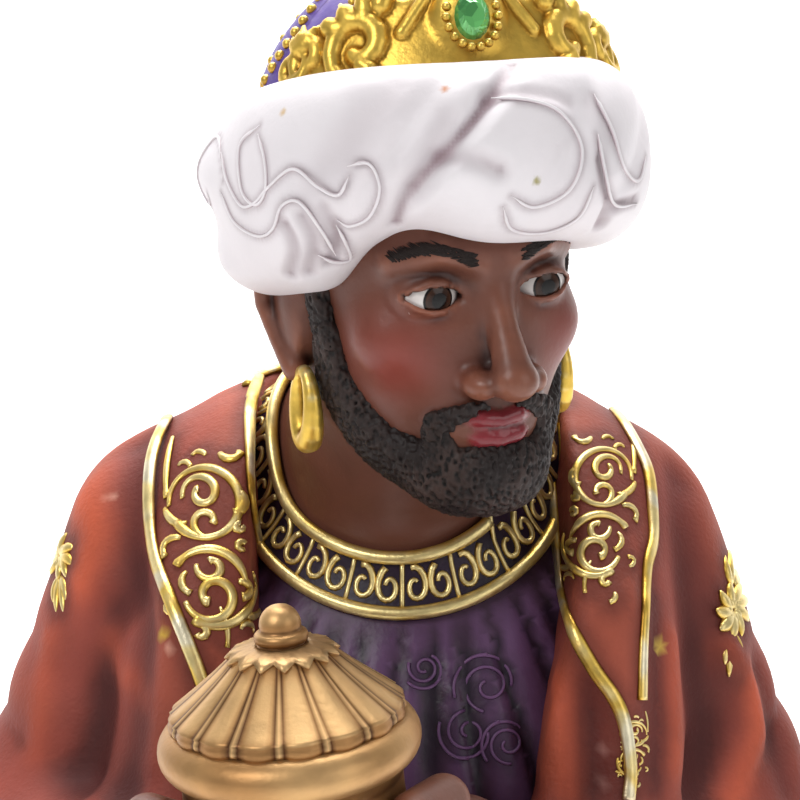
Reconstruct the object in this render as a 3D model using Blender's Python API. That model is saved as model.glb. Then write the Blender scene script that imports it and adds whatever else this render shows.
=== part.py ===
# A painted cast-resin wise man who holds a lidded gift jar, in metres, +Z up, facing -Y.
# The figure is one casting from its base to its turban, crown and cap. The jar in its hands
# and the green stone in its crown are pieces of their own.
# The solids are worked out as signed distances from named sizes: negative is inside.
import math

import bmesh
import bpy
import numpy as np
from mathutils import Matrix, Vector

# Driving sizes of the figure
HEAD = 0.092                   # chin to skull top, the measure of the body's proportions
HEAD_CENTRE = (0.006, -0.029, 0.573)
HEAD_TURN, HEAD_NOD, HEAD_TILT = 24.0, 6.0, 4.0
TURBAN_RISE = 0.225            # ring centre above the eye line, share of HEAD
TURBAN_TIP_BACK, TURBAN_TILT = 8.0, 3.0
CELL = 0.0025                  # spacing of the grid that the casting is read on
FIGURE_TRIANGLES = 8000
PLAIN_TOP = 0.50               # above it the casting keeps finer faces
DETAIL_SHARE = 0.00006         # how much more a face above it counts, in square metres per metre
FIT_GAP = 0.0003               # gap between the casting and what it holds

# Driving sizes of the base
BASE_WIDTH, BASE_DEPTH, BASE_HEIGHT = 0.244, 0.246, 0.020
BASE_BEVEL = 0.005
SWELL = 0.010                  # how far folds and blends may stand out from the sizes that are stated

# Driving sizes of the jar
JAR_SEAT = (-0.021, -0.094, 0.488)
JAR_LEAN = 4.0
JAR_RIM_RADIUS = 0.0252
JAR_RIM_HEIGHT = 0.0092
JAR_NECK_RADIUS = 0.0212
JAR_BELLY_RADIUS = 0.0236
JAR_FOOT_RADIUS = 0.0135
JAR_BODY_HEIGHT = 0.047
JAR_LID_RADIUS = 0.0224
JAR_LID_HEIGHT = 0.0268
JAR_LID_EDGE = 0.0022           # thickness of the lobes' lower ends
JAR_KNOB_RADIUS = 0.0040
JAR_KNOB_RING = 0.0052
JAR_LOBES = 16
JAR_LOBE_RELIEF = 0.0011

# Driving sizes of the stone in the crown
GEM_WIDTH, GEM_HEIGHT, GEM_DEPTH = 0.0078, 0.0098, 0.0042
GEM_SIDES = 10

# Driving sizes of the crown, an open diadem round the front of the cap
CROWN_CENTRE = (0.0079, -0.024, 0.6075)
CROWN_TURN, CROWN_TIP_BACK, CROWN_TILT = 11.0, 7.0, 2.0
CROWN_RADIUS = 0.0387
CROWN_SQUASH = 0.94            # its depth as a share of its width
CROWN_SPAN = 1.12              # from the middle to each end, in radians
CROWN_WALL = 0.0036
CROWN_BAND = 0.010
CROWN_PEAK = 0.020
CROWN_FLARE = -0.30            # how much wider it grows by height
GEM_RISE = 0.0122              # the stone's centre above the crown's foot
GEM_OUT = (CROWN_RADIUS + CROWN_FLARE * GEM_RISE) * CROWN_SQUASH + 0.5 * CROWN_WALL + 0.0016

# Driving sizes of the cap behind the crown
CAP_MIDDLE = (0.0, 0.001, -0.0035)
CAP_RADII = (0.0385, 0.0355, 0.0333)
CAP_RIBS = 16


def turned(turn, nod, tilt):
    """The axes of a form that is turned about Z, nodded about X and tilted about Y."""
    spin = Matrix.Rotation(math.radians(turn), 3, "Z")
    spin = spin @ Matrix.Rotation(math.radians(nod), 3, "X")
    spin = spin @ Matrix.Rotation(math.radians(tilt), 3, "Y")
    return np.array(spin)


HEAD_AXES = turned(HEAD_TURN, HEAD_NOD, -HEAD_TILT)
TURBAN_AXES = turned(HEAD_TURN, -TURBAN_TIP_BACK, -TURBAN_TILT)
TURBAN_CENTRE = np.array(HEAD_CENTRE) + HEAD_AXES @ np.array((0.0, 0.015, TURBAN_RISE)) * HEAD
CROWN_AXES = turned(CROWN_TURN, -CROWN_TIP_BACK, -CROWN_TILT)
JAR_AXES = turned(0.0, 0.0, -JAR_LEAN)


# Signed distances of plain forms

def length(vectors):
    return np.sqrt(np.einsum("ij,ij->i", vectors, vectors))


def ellipsoid(p, centre, radii):
    radii = np.array(radii)
    q = p - np.array(centre)
    near = length(q / radii)
    return near * (near - 1.0) / np.maximum(length(q / radii**2), 1e-9)


def cone(p, start, end, start_radius, end_radius):
    start, end = np.array(start), np.array(end)
    run = end - start
    along = np.clip((p - start) @ run / (run @ run), 0.0, 1.0)
    return length(p - start - along[:, None] * run) - (start_radius + (end_radius - start_radius) * along)


def chain(p, points, radii):
    """A limb or roll through some points, with a radius at each."""
    nearest = None
    for i in range(len(points) - 1):
        link = cone(p, points[i], points[i + 1], radii[i], radii[i + 1])
        nearest = link if nearest is None else np.minimum(nearest, link)
    return nearest


def join(a, b, blend):
    """Smooth union."""
    share = np.clip(0.5 + 0.5 * (b - a) / blend, 0.0, 1.0)
    return b + (a - b) * share - blend * share * (1.0 - share)


def cut(a, b, blend):
    """Smooth removal of b from a."""
    return -join(-a, b, blend)


def overlap(a, b, blend):
    """Smooth intersection."""
    return -join(-a, -b, blend)


def mirrored(points, side):
    return [(side * x, y, z) for x, y, z in points]


def eased(z, heights, values, reach=0.020):
    """A value that changes smoothly with height between a few stated ones."""
    steps = (-1.0, -0.5, 0.0, 0.5, 1.0)
    return sum(np.interp(z + reach * step, heights, values) for step in steps) / len(steps)


def ramp(x, low, high):
    share = np.clip((x - low) / (high - low), 0.0, 1.0)
    return share * share * (3.0 - 2.0 * share)


# The head, in its own frame: units of HEAD, eye line at z = 0, the face towards -y

def to_head(p):
    return (p - np.array(HEAD_CENTRE)) @ HEAD_AXES / HEAD


def skull_form(q):
    form = ellipsoid(q, (0, 0.06, 0.12), (0.335, 0.415, 0.385))
    form = join(form, ellipsoid(q, (0, -0.10, -0.14), (0.265, 0.275, 0.34)), 0.10)
    form = join(form, ellipsoid(q, (0, -0.285, -0.42), (0.085, 0.085, 0.075)), 0.08)
    for side in (-1, 1):
        jaw = mirrored([(0.225, 0.04, -0.26), (0.06, -0.26, -0.43)], side)
        form = join(form, chain(q, jaw, (0.060, 0.060)), 0.10)
        form = join(form, ellipsoid(q, (side * 0.180, -0.22, -0.115), (0.090, 0.082, 0.08)), 0.07)
    return form


EYE_PLACE = (0.135, -0.262, -0.002)
EYE_RADIUS = 0.0834
EYE_HALF_WIDTH, EYE_HALF_HEIGHT = 0.068, 0.026


def lid_route(side, rise):
    """The edge of a lid, which follows the eyeball between the eye's corners."""
    points = []
    for share in (-1.0, -0.6, -0.2, 0.2, 0.6, 1.0):
        across = EYE_HALF_WIDTH * share
        up = rise * (1.0 - share**2) + 0.05 * across
        out = math.sqrt(EYE_RADIUS**2 - across**2 - up**2)
        points.append((side * (EYE_PLACE[0] + across), EYE_PLACE[1] - out, EYE_PLACE[2] + up))
    return points


def face_form(q):
    form = skull_form(q)
    for side in (-1, 1):
        brow = mirrored([(0.035, -0.355, 0.07), (0.12, -0.345, 0.095), (0.205, -0.27, 0.075)], side)
        form = join(form, chain(q, brow, (0.024, 0.026, 0.024)), 0.05)
        socket = (side * EYE_PLACE[0], -0.40, 0.005)
        form = cut(form, ellipsoid(q, socket, (0.080, 0.078, 0.052)), 0.045)
        ball = (side * EYE_PLACE[0], EYE_PLACE[1], EYE_PLACE[2])
        form = join(form, ellipsoid(q, ball, (EYE_RADIUS,) * 3), 0.008)
        upper, lower = lid_route(side, EYE_HALF_HEIGHT + 0.004), lid_route(side, -EYE_HALF_HEIGHT - 0.003)
        form = join(form, chain(q, upper, (0.007, 0.013, 0.016, 0.016, 0.013, 0.008)), 0.010)
        form = join(form, chain(q, lower, (0.007, 0.010, 0.011, 0.011, 0.010, 0.007)), 0.012)
    nose = chain(q, [(0, -0.345, 0.03), (0, -0.400, -0.08), (0, -0.445, -0.170)], (0.030, 0.034, 0.046))
    nose = join(nose, ellipsoid(q, (0, -0.452, -0.182), (0.052, 0.046, 0.042)), 0.02)
    for side in (-1, 1):
        nose = join(nose, ellipsoid(q, (side * 0.062, -0.400, -0.192), (0.036, 0.052, 0.034)), 0.02)
    form = join(form, nose, 0.035)
    for side in (-1, 1):
        form = cut(form, ellipsoid(q, (side * 0.032, -0.425, -0.226), (0.016, 0.026, 0.016)), 0.010)
    form = join(form, ellipsoid(q, (0, -0.315, -0.30), (0.125, 0.065, 0.075)), 0.05)
    upper_lip = join(form, chain(q, UPPER_LIP, (0.008, 0.019, 0.018, 0.019, 0.008)), 0.012)
    lower_lip = join(form, chain(q, LOWER_LIP, (0.008, 0.024, 0.026, 0.024, 0.008)), 0.012)
    return np.minimum(upper_lip, lower_lip)


UPPER_LIP = [(-0.108, -0.325, -0.301), (-0.045, -0.374, -0.280), (0, -0.380, -0.287), (0.045, -0.374, -0.280),
             (0.108, -0.325, -0.301)]
LOWER_LIP = [(-0.100, -0.325, -0.307), (-0.045, -0.364, -0.326), (0, -0.370, -0.330), (0.045, -0.364, -0.326),
             (0.100, -0.325, -0.307)]


def ear_form(q):
    form = None
    for side in (-1, 1):
        rim = [(0.315, -0.02, -0.05), (0.345, 0.00, 0.03), (0.370, 0.06, 0.06), (0.385, 0.105, 0.01),
               (0.380, 0.105, -0.08), (0.360, 0.065, -0.16), (0.338, 0.02, -0.225)]
        ear = chain(q, mirrored(rim, side), (0.018, 0.020, 0.022, 0.022, 0.020, 0.022, 0.030))
        ear = join(ear, ellipsoid(q, (side * 0.335, 0.045, -0.09), (0.024, 0.065, 0.13)), 0.02)
        ear = join(ear, ellipsoid(q, (side * 0.300, 0.045, -0.04), (0.062, 0.085, 0.17)), 0.02)
        form = ear if form is None else np.minimum(form, ear)
    return form


def beard_form(q):
    """A close beard: the jaw's surface raised inside a region from sideburns to moustache."""
    region = ellipsoid(q, (0, -0.33, -0.43), (0.14, 0.12, 0.10))
    for side in (-1, 1):
        jaw = [(0.315, -0.060, 0.10), (0.302, -0.075, -0.08), (0.262, -0.07, -0.24),
               (0.185, -0.17, -0.39), (0.08, -0.30, -0.44)]
        region = join(region, chain(q, mirrored(jaw, side), (0.030, 0.036, 0.060, 0.085, 0.085)), 0.03)
        side_lip = [(0.125, -0.32, -0.37), (0.138, -0.33, -0.295), (0.070, -0.395, -0.257), (0, -0.42, -0.257)]
        region = join(region, chain(q, mirrored(side_lip, side), (0.045, 0.028, 0.021, 0.016)), 0.012)
    region = cut(region, ellipsoid(q, (0, -0.375, -0.305), (0.098, 0.08, 0.040)), 0.01)
    return overlap(skull_form(q) - 0.032, region, 0.02)


def earring_form(q):
    """A thick crescent hoop that hangs from each lobe, run into the neck behind it."""
    form = None
    for side in (-1, 1):
        centre = np.array((side * 0.332, -0.028, -0.305))
        turn = np.linspace(0.0, 2.0 * math.pi, 17)
        points = [centre + np.array((0.0, -0.046 * math.sin(a), 0.085 * math.cos(a))) for a in turn]
        radii = [0.016 + 0.014 * (1.0 - math.cos(a)) / 2.0 for a in turn]
        hoop = chain(q, points, radii)
        form = hoop if form is None else np.minimum(form, hoop)
    return form


# The turban, in its own frame: metres, ring centre at the origin

def to_turban(p):
    return (p - TURBAN_CENTRE) @ TURBAN_AXES


TURBAN_RING = (0.345 * HEAD, 0.390 * HEAD)
TURBAN_THICK, TURBAN_HIGH = 0.172 * HEAD, 0.207 * HEAD
TURBAN_FULLNESS = 2.35         # 2 for a round roll, more for a fuller one
TURBAN_LIFT = 0.0048           # how far its lower edge rises over the brow
TURBAN_DROOP = 0.0055          # how far its sides hang lower
TURBAN_DIP = 0.0022            # how far its upper edge sinks in front
TURBAN_FLAT = 0.0020           # how much thinner it is over the ear


def turban_folds(angle, height):
    """How far the wound cloth stands out or in, by place round the ring and up it."""
    crossing = angle - (-0.256 + 20.0 * height)
    under = ramp(-crossing, -0.05, 0.09)
    relief = -0.0026 * np.exp(np.minimum(crossing, 0.0) / 0.22) * under
    relief = relief + 0.0014 * np.exp(-np.maximum(crossing, 0.0) / 0.5) * (1.0 - under)
    for place, depth, width in ((-0.32, 0.0016, 0.09), (0.42, 0.0012, 0.09), (0.95, 0.0010, 0.10)):
        relief = relief - depth * np.exp(-((crossing - place) / width) ** 2)
    back = ramp(np.abs(angle), 1.3, 2.0)
    return relief + back * 0.0016 * np.sin(3.0 * angle + 260.0 * height)


def turban_form(t):
    angle = np.arctan2(t[:, 0], -t[:, 1])
    ring_x, ring_y = TURBAN_RING
    stretch = np.sqrt((t[:, 0] / ring_x) ** 2 + (t[:, 1] / ring_y) ** 2)
    middle = np.sqrt((ring_x * np.sin(angle)) ** 2 + (ring_y * np.cos(angle)) ** 2)
    out = (stretch - 1.0) * middle
    lift = TURBAN_LIFT * np.exp(-((angle + 0.55) / 0.32) ** 2)
    droop = TURBAN_DROOP * ramp(-angle, 0.80, 1.30) * ramp(2.6 + angle, 0.0, 0.8)
    droop = droop + 0.4 * TURBAN_DROOP * np.exp(-((angle - 1.15) / 0.45) ** 2)
    dip = TURBAN_DIP * np.exp(-(angle / 0.75) ** 2)
    high = TURBAN_HIGH + 0.5 * (droop - lift - dip)
    up = t[:, 2] + 0.5 * (droop - lift + dip)
    thick = TURBAN_THICK + turban_folds(angle, t[:, 2]) - TURBAN_FLAT * np.exp(-((angle + 1.45) / 0.45) ** 2)
    near = (np.abs(out / thick) ** TURBAN_FULLNESS + np.abs(up / high) ** TURBAN_FULLNESS) ** (1.0 / TURBAN_FULLNESS)
    roll = (near - 1.0) * np.minimum(thick, high)
    inside = ellipsoid(t, (0, 0, 0.002), (ring_x, ring_y, 0.19 * HEAD))
    return join(roll, inside, 0.004)


def crown_top(angle):
    """Height of the crown's edge round the ring: a tall front peak and leaf tips beside it."""
    height = CROWN_BAND - 0.003 + CROWN_PEAK * np.exp(-(angle / 0.34) ** 2)
    for side in (-1, 1):
        for place, rise, width in ((0.56, 0.56, 0.19), (0.92, 0.34, 0.13)):
            height = height + rise * CROWN_PEAK * np.exp(-((angle - side * place) / width) ** 2)
    return height


# The crown and the cap behind it, in the crown's frame: metres, the middle of its foot at the origin

def to_crown(p):
    return (p - np.array(CROWN_CENTRE)) @ CROWN_AXES


def crown_form(c):
    angle = np.arctan2(c[:, 0], -c[:, 1] / CROWN_SQUASH)
    radius = CROWN_RADIUS + CROWN_FLARE * c[:, 2]
    wall = np.abs(np.hypot(c[:, 0], c[:, 1] / CROWN_SQUASH) - radius) - 0.5 * CROWN_WALL
    edge = np.maximum(-c[:, 2], c[:, 2] - crown_top(angle))
    edge = np.maximum(0.7 * edge, (np.abs(angle) - CROWN_SPAN) * CROWN_RADIUS)
    crown = overlap(wall, edge, 0.0015)
    boss = ellipsoid(c, (0, -GEM_OUT + 0.0026, GEM_RISE), (0.0074, 0.0040, 0.0086))
    return join(crown, boss, 0.002)


def cap_form(c):
    angle = np.arctan2(c[:, 0] - CAP_MIDDLE[0], c[:, 1] - CAP_MIDDLE[1])
    ribs = 0.0010 * np.abs(np.sin(0.5 * CAP_RIBS * angle))
    dome = ellipsoid(c, CAP_MIDDLE, CAP_RADII) - ribs
    top = (CAP_MIDDLE[0], CAP_MIDDLE[1], CAP_MIDDLE[2] + CAP_RADII[2])
    return join(dome, ellipsoid(c, top, (0.0045, 0.0045, 0.0035)), 0.002)


# The body, in world metres

NECK_BASE = (0.0, 0.022, 0.492)
COLLAR_CENTRE = np.array((0.0005, 0.012, 0.515))
COLLAR_AXES = turned(0.0, 32.0, 0.0)
COLLAR_INNER, COLLAR_OUTER = 0.0303, 0.0398
COLLAR_RAISE = 0.0014

BODY_HEIGHTS = (0.00, 0.10, 0.22, 0.34, 0.42, 0.47, 0.51, 0.55)
MANTLE_WIDTHS = (0.103, 0.099, 0.097, 0.096, 0.092, 0.080, 0.058, 0.030)
MANTLE_DEPTHS = (0.096, 0.087, 0.079, 0.070, 0.062, 0.052, 0.042, 0.026)
TUNIC_WIDTHS = (0.090, 0.082, 0.074, 0.066, 0.064, 0.062, 0.05, 0.03)
TUNIC_DEPTHS = (0.092, 0.082, 0.072, 0.062, 0.056, 0.050, 0.04, 0.03)
BODY_MIDDLE = (0.006, 0.010, 0.012, 0.012, 0.014, 0.018, 0.022, 0.024)
HEM_HEIGHT = 0.034
MANTLE_HEM = 0.030
TUNIC_TOP, MANTLE_TOP = 0.47, 0.53

OPENING_HEIGHTS = (0.03, 0.30, 0.42, 0.45, 0.47, 0.50, 0.545)
OPENING_LEFT = (-0.047, -0.040, -0.032, -0.030, -0.031, -0.034, -0.036)
OPENING_RIGHT = (0.052, 0.054, 0.036, 0.028, 0.032, 0.041, 0.038)

SHOULDERS = ((-0.0565, 0.018, 0.4990), (0.0520, 0.018, 0.4985))
ELBOWS = ((-0.0825, 0.002, 0.410), (0.0808, 0.004, 0.408))
WRISTS = ((-0.062, -0.066, 0.432), (0.020, -0.072, 0.430))
SLEEVE_RADII = (0.0260, 0.0328, 0.0250)


def pleats(angle, z, count, lean, sharp=0.08):
    """Rounded ridges with sharp valleys, running down the cloth and drifting round it."""
    phase = 0.5 * count * angle + lean * z + 0.6 * np.sin(3.0 * angle + 9.0 * z)
    return np.sqrt(np.sin(phase) ** 2 + sharp**2)


def drape(p, widths, depths, fold_count, fold_depth, lean):
    x, y, z = p.T
    back = y - eased(z, BODY_HEIGHTS, BODY_MIDDLE)
    angle = np.arctan2(x, -back)
    wide, deep = eased(z, BODY_HEIGHTS, widths), eased(z, BODY_HEIGHTS, depths)
    edge = 1.0 / np.sqrt((np.sin(angle) / wide) ** 2 + (np.cos(angle) / deep) ** 2)
    fade = eased(z, (0.0, 0.20, 0.42, 0.50), (1.0, 0.85, 0.45, 0.15))
    fold = fold_depth * fade * (pleats(angle, z, fold_count, lean) - 0.7)
    return 0.85 * (np.hypot(x, back) - edge - fold)


def arm_folds(p, shoulder, elbow):
    """Soft rolls of cloth that gather round the elbow."""
    run = np.array(elbow) - np.array(shoulder)
    along = (p - np.array(shoulder)) @ run / (run @ run)
    near = np.exp(-((along - 0.75) / 0.45) ** 2)
    swing = 17.0 * along + 34.0 * (p[:, 0] + 1.6 * p[:, 1])
    return 0.0022 * near * (np.sqrt(np.sin(swing) ** 2 + 0.03) - 0.6)


def sleeve_form(p, i):
    upper = cone(p, SHOULDERS[i], ELBOWS[i], SLEEVE_RADII[0], SLEEVE_RADII[1])
    lower = cone(p, ELBOWS[i], WRISTS[i], SLEEVE_RADII[1], SLEEVE_RADII[2])
    arm = join(upper, lower, 0.016) - arm_folds(p, SHOULDERS[i], ELBOWS[i])
    droop_low = np.array(WRISTS[i]) * 0.45 + np.array(ELBOWS[i]) * 0.55 - np.array((0, 0, 0.05))
    hang = cone(p, np.array(WRISTS[i]) - np.array((0, 0, 0.006)), droop_low, 0.019, 0.016)
    arm = join(arm, hang, 0.026)
    reach = np.array(WRISTS[i]) - np.array(ELBOWS[i])
    reach = reach / np.linalg.norm(reach)
    past_wrist = (p - np.array(WRISTS[i])) @ reach - 0.004
    return overlap(arm, past_wrist, 0.004)


# Long hollows of the cloth: their middles and radii from the shoulder down
MANTLE_VALLEYS = (
    (((-0.068, -0.026, 0.512), (-0.068, -0.046, 0.480), (-0.066, -0.062, 0.445)), (0.003, 0.006, 0.004)),
    (((-0.092, -0.006, 0.496), (-0.104, -0.022, 0.462), (-0.106, -0.034, 0.430)), (0.003, 0.005, 0.003)),
    (((0.062, -0.030, 0.500), (0.061, -0.052, 0.462), (0.060, -0.062, 0.430)), (0.003, 0.007, 0.005)),
    (((0.086, -0.008, 0.492), (0.098, -0.024, 0.456), (0.100, -0.034, 0.428)), (0.003, 0.005, 0.003)),
    (((0.040, -0.050, 0.476), (0.041, -0.062, 0.452), (0.040, -0.070, 0.425)), (0.003, 0.006, 0.006)),
)


def mantle_opening(p):
    x, y, z = p.T
    left, right = eased(z, OPENING_HEIGHTS, OPENING_LEFT), eased(z, OPENING_HEIGHTS, OPENING_RIGHT)
    return np.maximum(np.maximum(left - x, x - right), y - 0.010)


def mantle_form(p):
    lower = drape(p, MANTLE_WIDTHS, MANTLE_DEPTHS, 15, 0.0085, 2.0)
    lower = overlap(lower, p[:, 2] - MANTLE_TOP, 0.03)
    lower = overlap(lower, MANTLE_HEM - p[:, 2], 0.004)
    yoke = chain(p, [(-0.050, 0.016, 0.4975), (-0.028, 0.020, 0.504), (0.028, 0.020, 0.504), (0.047, 0.016, 0.4980)],
                 (0.026, 0.025, 0.025, 0.026))
    chest = ellipsoid(p, (0.002, 0.008, 0.455), (0.074, 0.052, 0.070))
    form = join(lower, yoke, 0.03)
    form = join(form, chest, 0.02)
    for side in (-1, 1):
        lapel = [(0.000, 0.046, 0.532), (0.024, 0.042, 0.529), (0.037, 0.026, 0.521), (0.038, -0.004, 0.512),
                 (0.046, -0.028, 0.490), (0.050, -0.038, 0.45)]
        form = join(form, chain(p, mirrored(lapel, side), (0.008, 0.009, 0.010, 0.010, 0.012, 0.014)), 0.018)
    form = cut(form, mantle_opening(p), 0.003)
    form = cut(form, cone(p, (0.0, 0.022, 0.515), (0.0, 0.010, 0.575), 0.031, 0.040), 0.004)
    for i in (0, 1):
        form = join(form, sleeve_form(p, i), 0.010)
    for route, radii in MANTLE_VALLEYS:
        form = cut(form, chain(p, route, radii), 0.010)
    return form


def neck_form(p):
    nape = HEAD_AXES @ np.array((0, 0.05, -0.12)) * HEAD + np.array(HEAD_CENTRE)
    neck = cone(p, NECK_BASE, nape, 0.0285, 0.0265)
    slope = chain(p, [(-0.036, 0.020, 0.515), (0, 0.024, 0.530), (0.036, 0.020, 0.515)], (0.014, 0.020, 0.014))
    return join(neck, slope, 0.02)


def tunic_form(p):
    lower = drape(p, TUNIC_WIDTHS, TUNIC_DEPTHS, 22, 0.0055, 1.2)
    lower = overlap(lower, p[:, 2] - TUNIC_TOP, 0.03)
    lower = overlap(lower, HEM_HEIGHT - p[:, 2], 0.004)
    chest = ellipsoid(p, (0.002, 0.012, 0.455), (0.064, 0.048, 0.062))
    return join(join(lower, chest, 0.02), neck_form(p), 0.014)


def to_collar(p):
    return (p - COLLAR_CENTRE) @ COLLAR_AXES


def collar_form(p):
    """The band round the neck: the cloth raised between two rings."""
    c = to_collar(p)
    out = np.hypot(c[:, 0], 0.86 * c[:, 1])
    band = np.maximum(COLLAR_INNER - out, out - COLLAR_OUTER)
    raised = overlap(tunic_form(p) - COLLAR_RAISE, band, 0.001)
    return raised


# The hands, which close on the jar from both sides

KNOB_LOW = JAR_LID_HEIGHT - 2.0 * JAR_KNOB_RADIUS
LID_LOW, LID_HIGH = 0.5 * JAR_RIM_HEIGHT + JAR_LID_EDGE, KNOB_LOW + 0.0004
RING_MIDDLE = LID_HIGH + 0.0013


def lid_radius(share):
    """The lid's bell: wide at its edge, straighter above, rounded in under the knob."""
    bell = 0.36 + 0.64 * (1.0 - share) ** 1.15
    return JAR_LID_RADIUS * bell * (1.0 - 0.42 * ramp(share, 0.88, 1.0))


def lid_height(share):
    return LID_LOW + (LID_HIGH - LID_LOW) * share


FINGER_RADIUS = 0.0041
FINGER_STEP = 0.0088
GRIP_RADIUS = JAR_BELLY_RADIUS + 0.0028
GRIP_LOW = -0.0440
PALM_RADIUS = 0.0125


def grip_point(turn, height, radius=GRIP_RADIUS):
    """A point round the jar's belly: turn 0 is at the front, positive to +X, in degrees."""
    a = math.radians(turn)
    local = np.array((radius * math.sin(a), -radius * math.cos(a), height))
    return JAR_AXES @ local + np.array(JAR_SEAT)


def hand_form(p, i):
    side = (-1, 1)[i]
    palm_centre = grip_point(side * 112, GRIP_LOW + 0.010, GRIP_RADIUS + 0.006)
    palm = cone(p, palm_centre, grip_point(side * 84, GRIP_LOW + 0.012, GRIP_RADIUS + 0.003), PALM_RADIUS, 0.0100)
    palm = join(palm, cone(p, WRISTS[i], palm_centre, PALM_RADIUS, 0.0120), 0.010)
    for n in range(4):
        height = GRIP_LOW + FINGER_STEP * (n - 0.4)
        tip = 26 + 5 * abs(n - 2)
        knuckles = [grip_point(side * turn, height - 0.0012 * (turn < 50), GRIP_RADIUS + 0.0012 * (turn > 60))
                    for turn in (92, 68, 46, tip)]
        finger = chain(p, knuckles, (0.0052, 0.0046, FINGER_RADIUS, 0.0034))
        palm = join(palm, finger, 0.0022)
    thumb = [grip_point(side * 118, GRIP_LOW + 0.020), grip_point(side * 88, GRIP_LOW + 0.030, GRIP_RADIUS + 0.002),
             grip_point(side * 62, GRIP_LOW + 0.0325, GRIP_RADIUS - 0.001)]
    return join(palm, chain(p, thumb, (0.0065, 0.0052, 0.0042)), 0.004)


def cuff_form(p, i):
    reach = np.array(WRISTS[i]) - np.array(ELBOWS[i])
    reach = reach / np.linalg.norm(reach)
    end = np.array(WRISTS[i]) + reach * 0.010
    return cone(p, np.array(WRISTS[i]) - reach * 0.02, end, 0.0165, 0.0160)


def shoe_form(p):
    form = None
    for side in (-1, 1):
        heel = (side * 0.026, -0.070, BASE_HEIGHT + 0.011)
        toe = (side * 0.034, -0.102, BASE_HEIGHT + 0.007)
        shoe = cone(p, heel, toe, 0.0135, 0.0095)
        form = shoe if form is None else np.minimum(form, shoe)
    return form


def foot_form(p):
    """What carries the robe on the base, under the hem."""
    x, y, z = p.T
    column = (np.hypot(x / 0.082, (y - 0.006) / 0.080) - 1.0) * 0.080
    return np.maximum(column, z - 0.060)


def base_form(p):
    x, y, z = p.T
    low = np.clip((z - (BASE_HEIGHT - BASE_BEVEL)) / BASE_BEVEL, 0.0, 1.0)
    inset = BASE_BEVEL * (1.0 - np.sqrt(np.maximum(1.0 - low**2, 0.0)))
    half_x, half_y = 0.5 * BASE_WIDTH, 0.5 * BASE_DEPTH
    out = (np.hypot(x / half_x, y / half_y) - 1.0) * min(half_x, half_y) + inset
    return np.maximum(out, z - BASE_HEIGHT)


def figure_form(p):
    """The whole casting, with each form worked out only near its own place."""
    z = p[:, 2]
    form = join(mantle_form(p), tunic_form(p), 0.002)
    form = np.minimum(form, collar_form(p))
    form = np.minimum(form, np.minimum(base_form(p), foot_form(p)))
    form = np.minimum(form, shoe_form(p))
    hands = np.flatnonzero((z > 0.38) & (z < 0.52) & (p[:, 1] < 0.02))
    for i in (0, 1):
        form[hands] = join(form[hands], hand_form(p[hands], i), 0.002)
        form[hands] = np.minimum(form[hands], cuff_form(p[hands], i))
    top = np.flatnonzero(z > 0.48)
    q = to_head(p[top])
    head = face_form(q)
    head = join(head, ear_form(q), 0.02)
    head = np.minimum(head, beard_form(q))
    head = join(head, earring_form(q), 0.004) * HEAD
    t = to_turban(p[top])
    c = to_crown(p[top])
    wear = np.minimum(np.minimum(turban_form(t), crown_form(c)), cap_form(c))
    form[top] = np.minimum(join(form[top], head, 0.003), wear)
    return form


# Reading a form as a mesh

def read_band(form, low, high, cell, block=4):
    """Values of the form on a grid, worked out only in the blocks that its surface crosses."""
    low, high = np.array(low), np.array(high)
    blocks = np.ceil((high - low) / (cell * block)).astype(int)
    axes = [low[i] + cell * block * (np.arange(blocks[i]) + 0.5) for i in range(3)]
    centres = np.stack(np.meshgrid(*axes, indexing="ij"), axis=-1).reshape(-1, 3)
    coarse = form(centres).reshape(blocks)
    values = np.repeat(np.repeat(np.repeat(coarse, block, 0), block, 1), block, 2)
    near = np.argwhere(np.abs(coarse) < 1.45 * cell * block)
    steps = np.stack(np.meshgrid(*[np.arange(block)] * 3, indexing="ij"), axis=-1).reshape(-1, 3)
    spots = (near[:, None, :] * block + steps[None]).reshape(-1, 3)
    values[tuple(spots.T)] = form(low + cell * (spots + 0.5))
    return values, low + 0.5 * cell


def fill_corners(values, cell):
    """Fill the places where two parts of the surface would meet only at an edge or a corner."""
    filled = -0.25 * cell
    for _ in range(8):
        inside = values < 0.0
        changed = 0
        for axes in ((0, 1), (1, 2), (0, 2)):
            u, v = (np.eye(3, dtype=int)[axis] for axis in axes)
            size = np.array(values.shape) - u - v
            a, b, c, d = (inside[tuple(slice(o, o + n) for o, n in zip(offset, size))]
                          for offset in (0 * u, u, u + v, v))
            spots = np.argwhere((a == c) & (b == d) & (a != b))
            for offset in (0 * u, u, u + v, v):
                place = tuple((spots + offset).T)
                values[place] = np.minimum(values[place], filled)
            changed += len(spots)
        size = np.array(values.shape) - 1
        corners = [inside[i:i + size[0], j:j + size[1], k:k + size[2]]
                   for i in (0, 1) for j in (0, 1) for k in (0, 1)]
        count = sum(corner.astype(np.int8) for corner in corners)
        for first in range(4):
            same = corners[first] == corners[7 - first]
            lone = same & (((count == 2) & corners[first]) | ((count == 6) & ~corners[first]))
            spots = np.argwhere(lone)
            for i, j, k in ((i, j, k) for i in (0, 1) for j in (0, 1) for k in (0, 1)):
                place = tuple((spots + np.array((i, j, k))).T)
                values[place] = np.minimum(values[place], filled)
            changed += len(spots)
        if not changed:
            break
    return values


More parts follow.
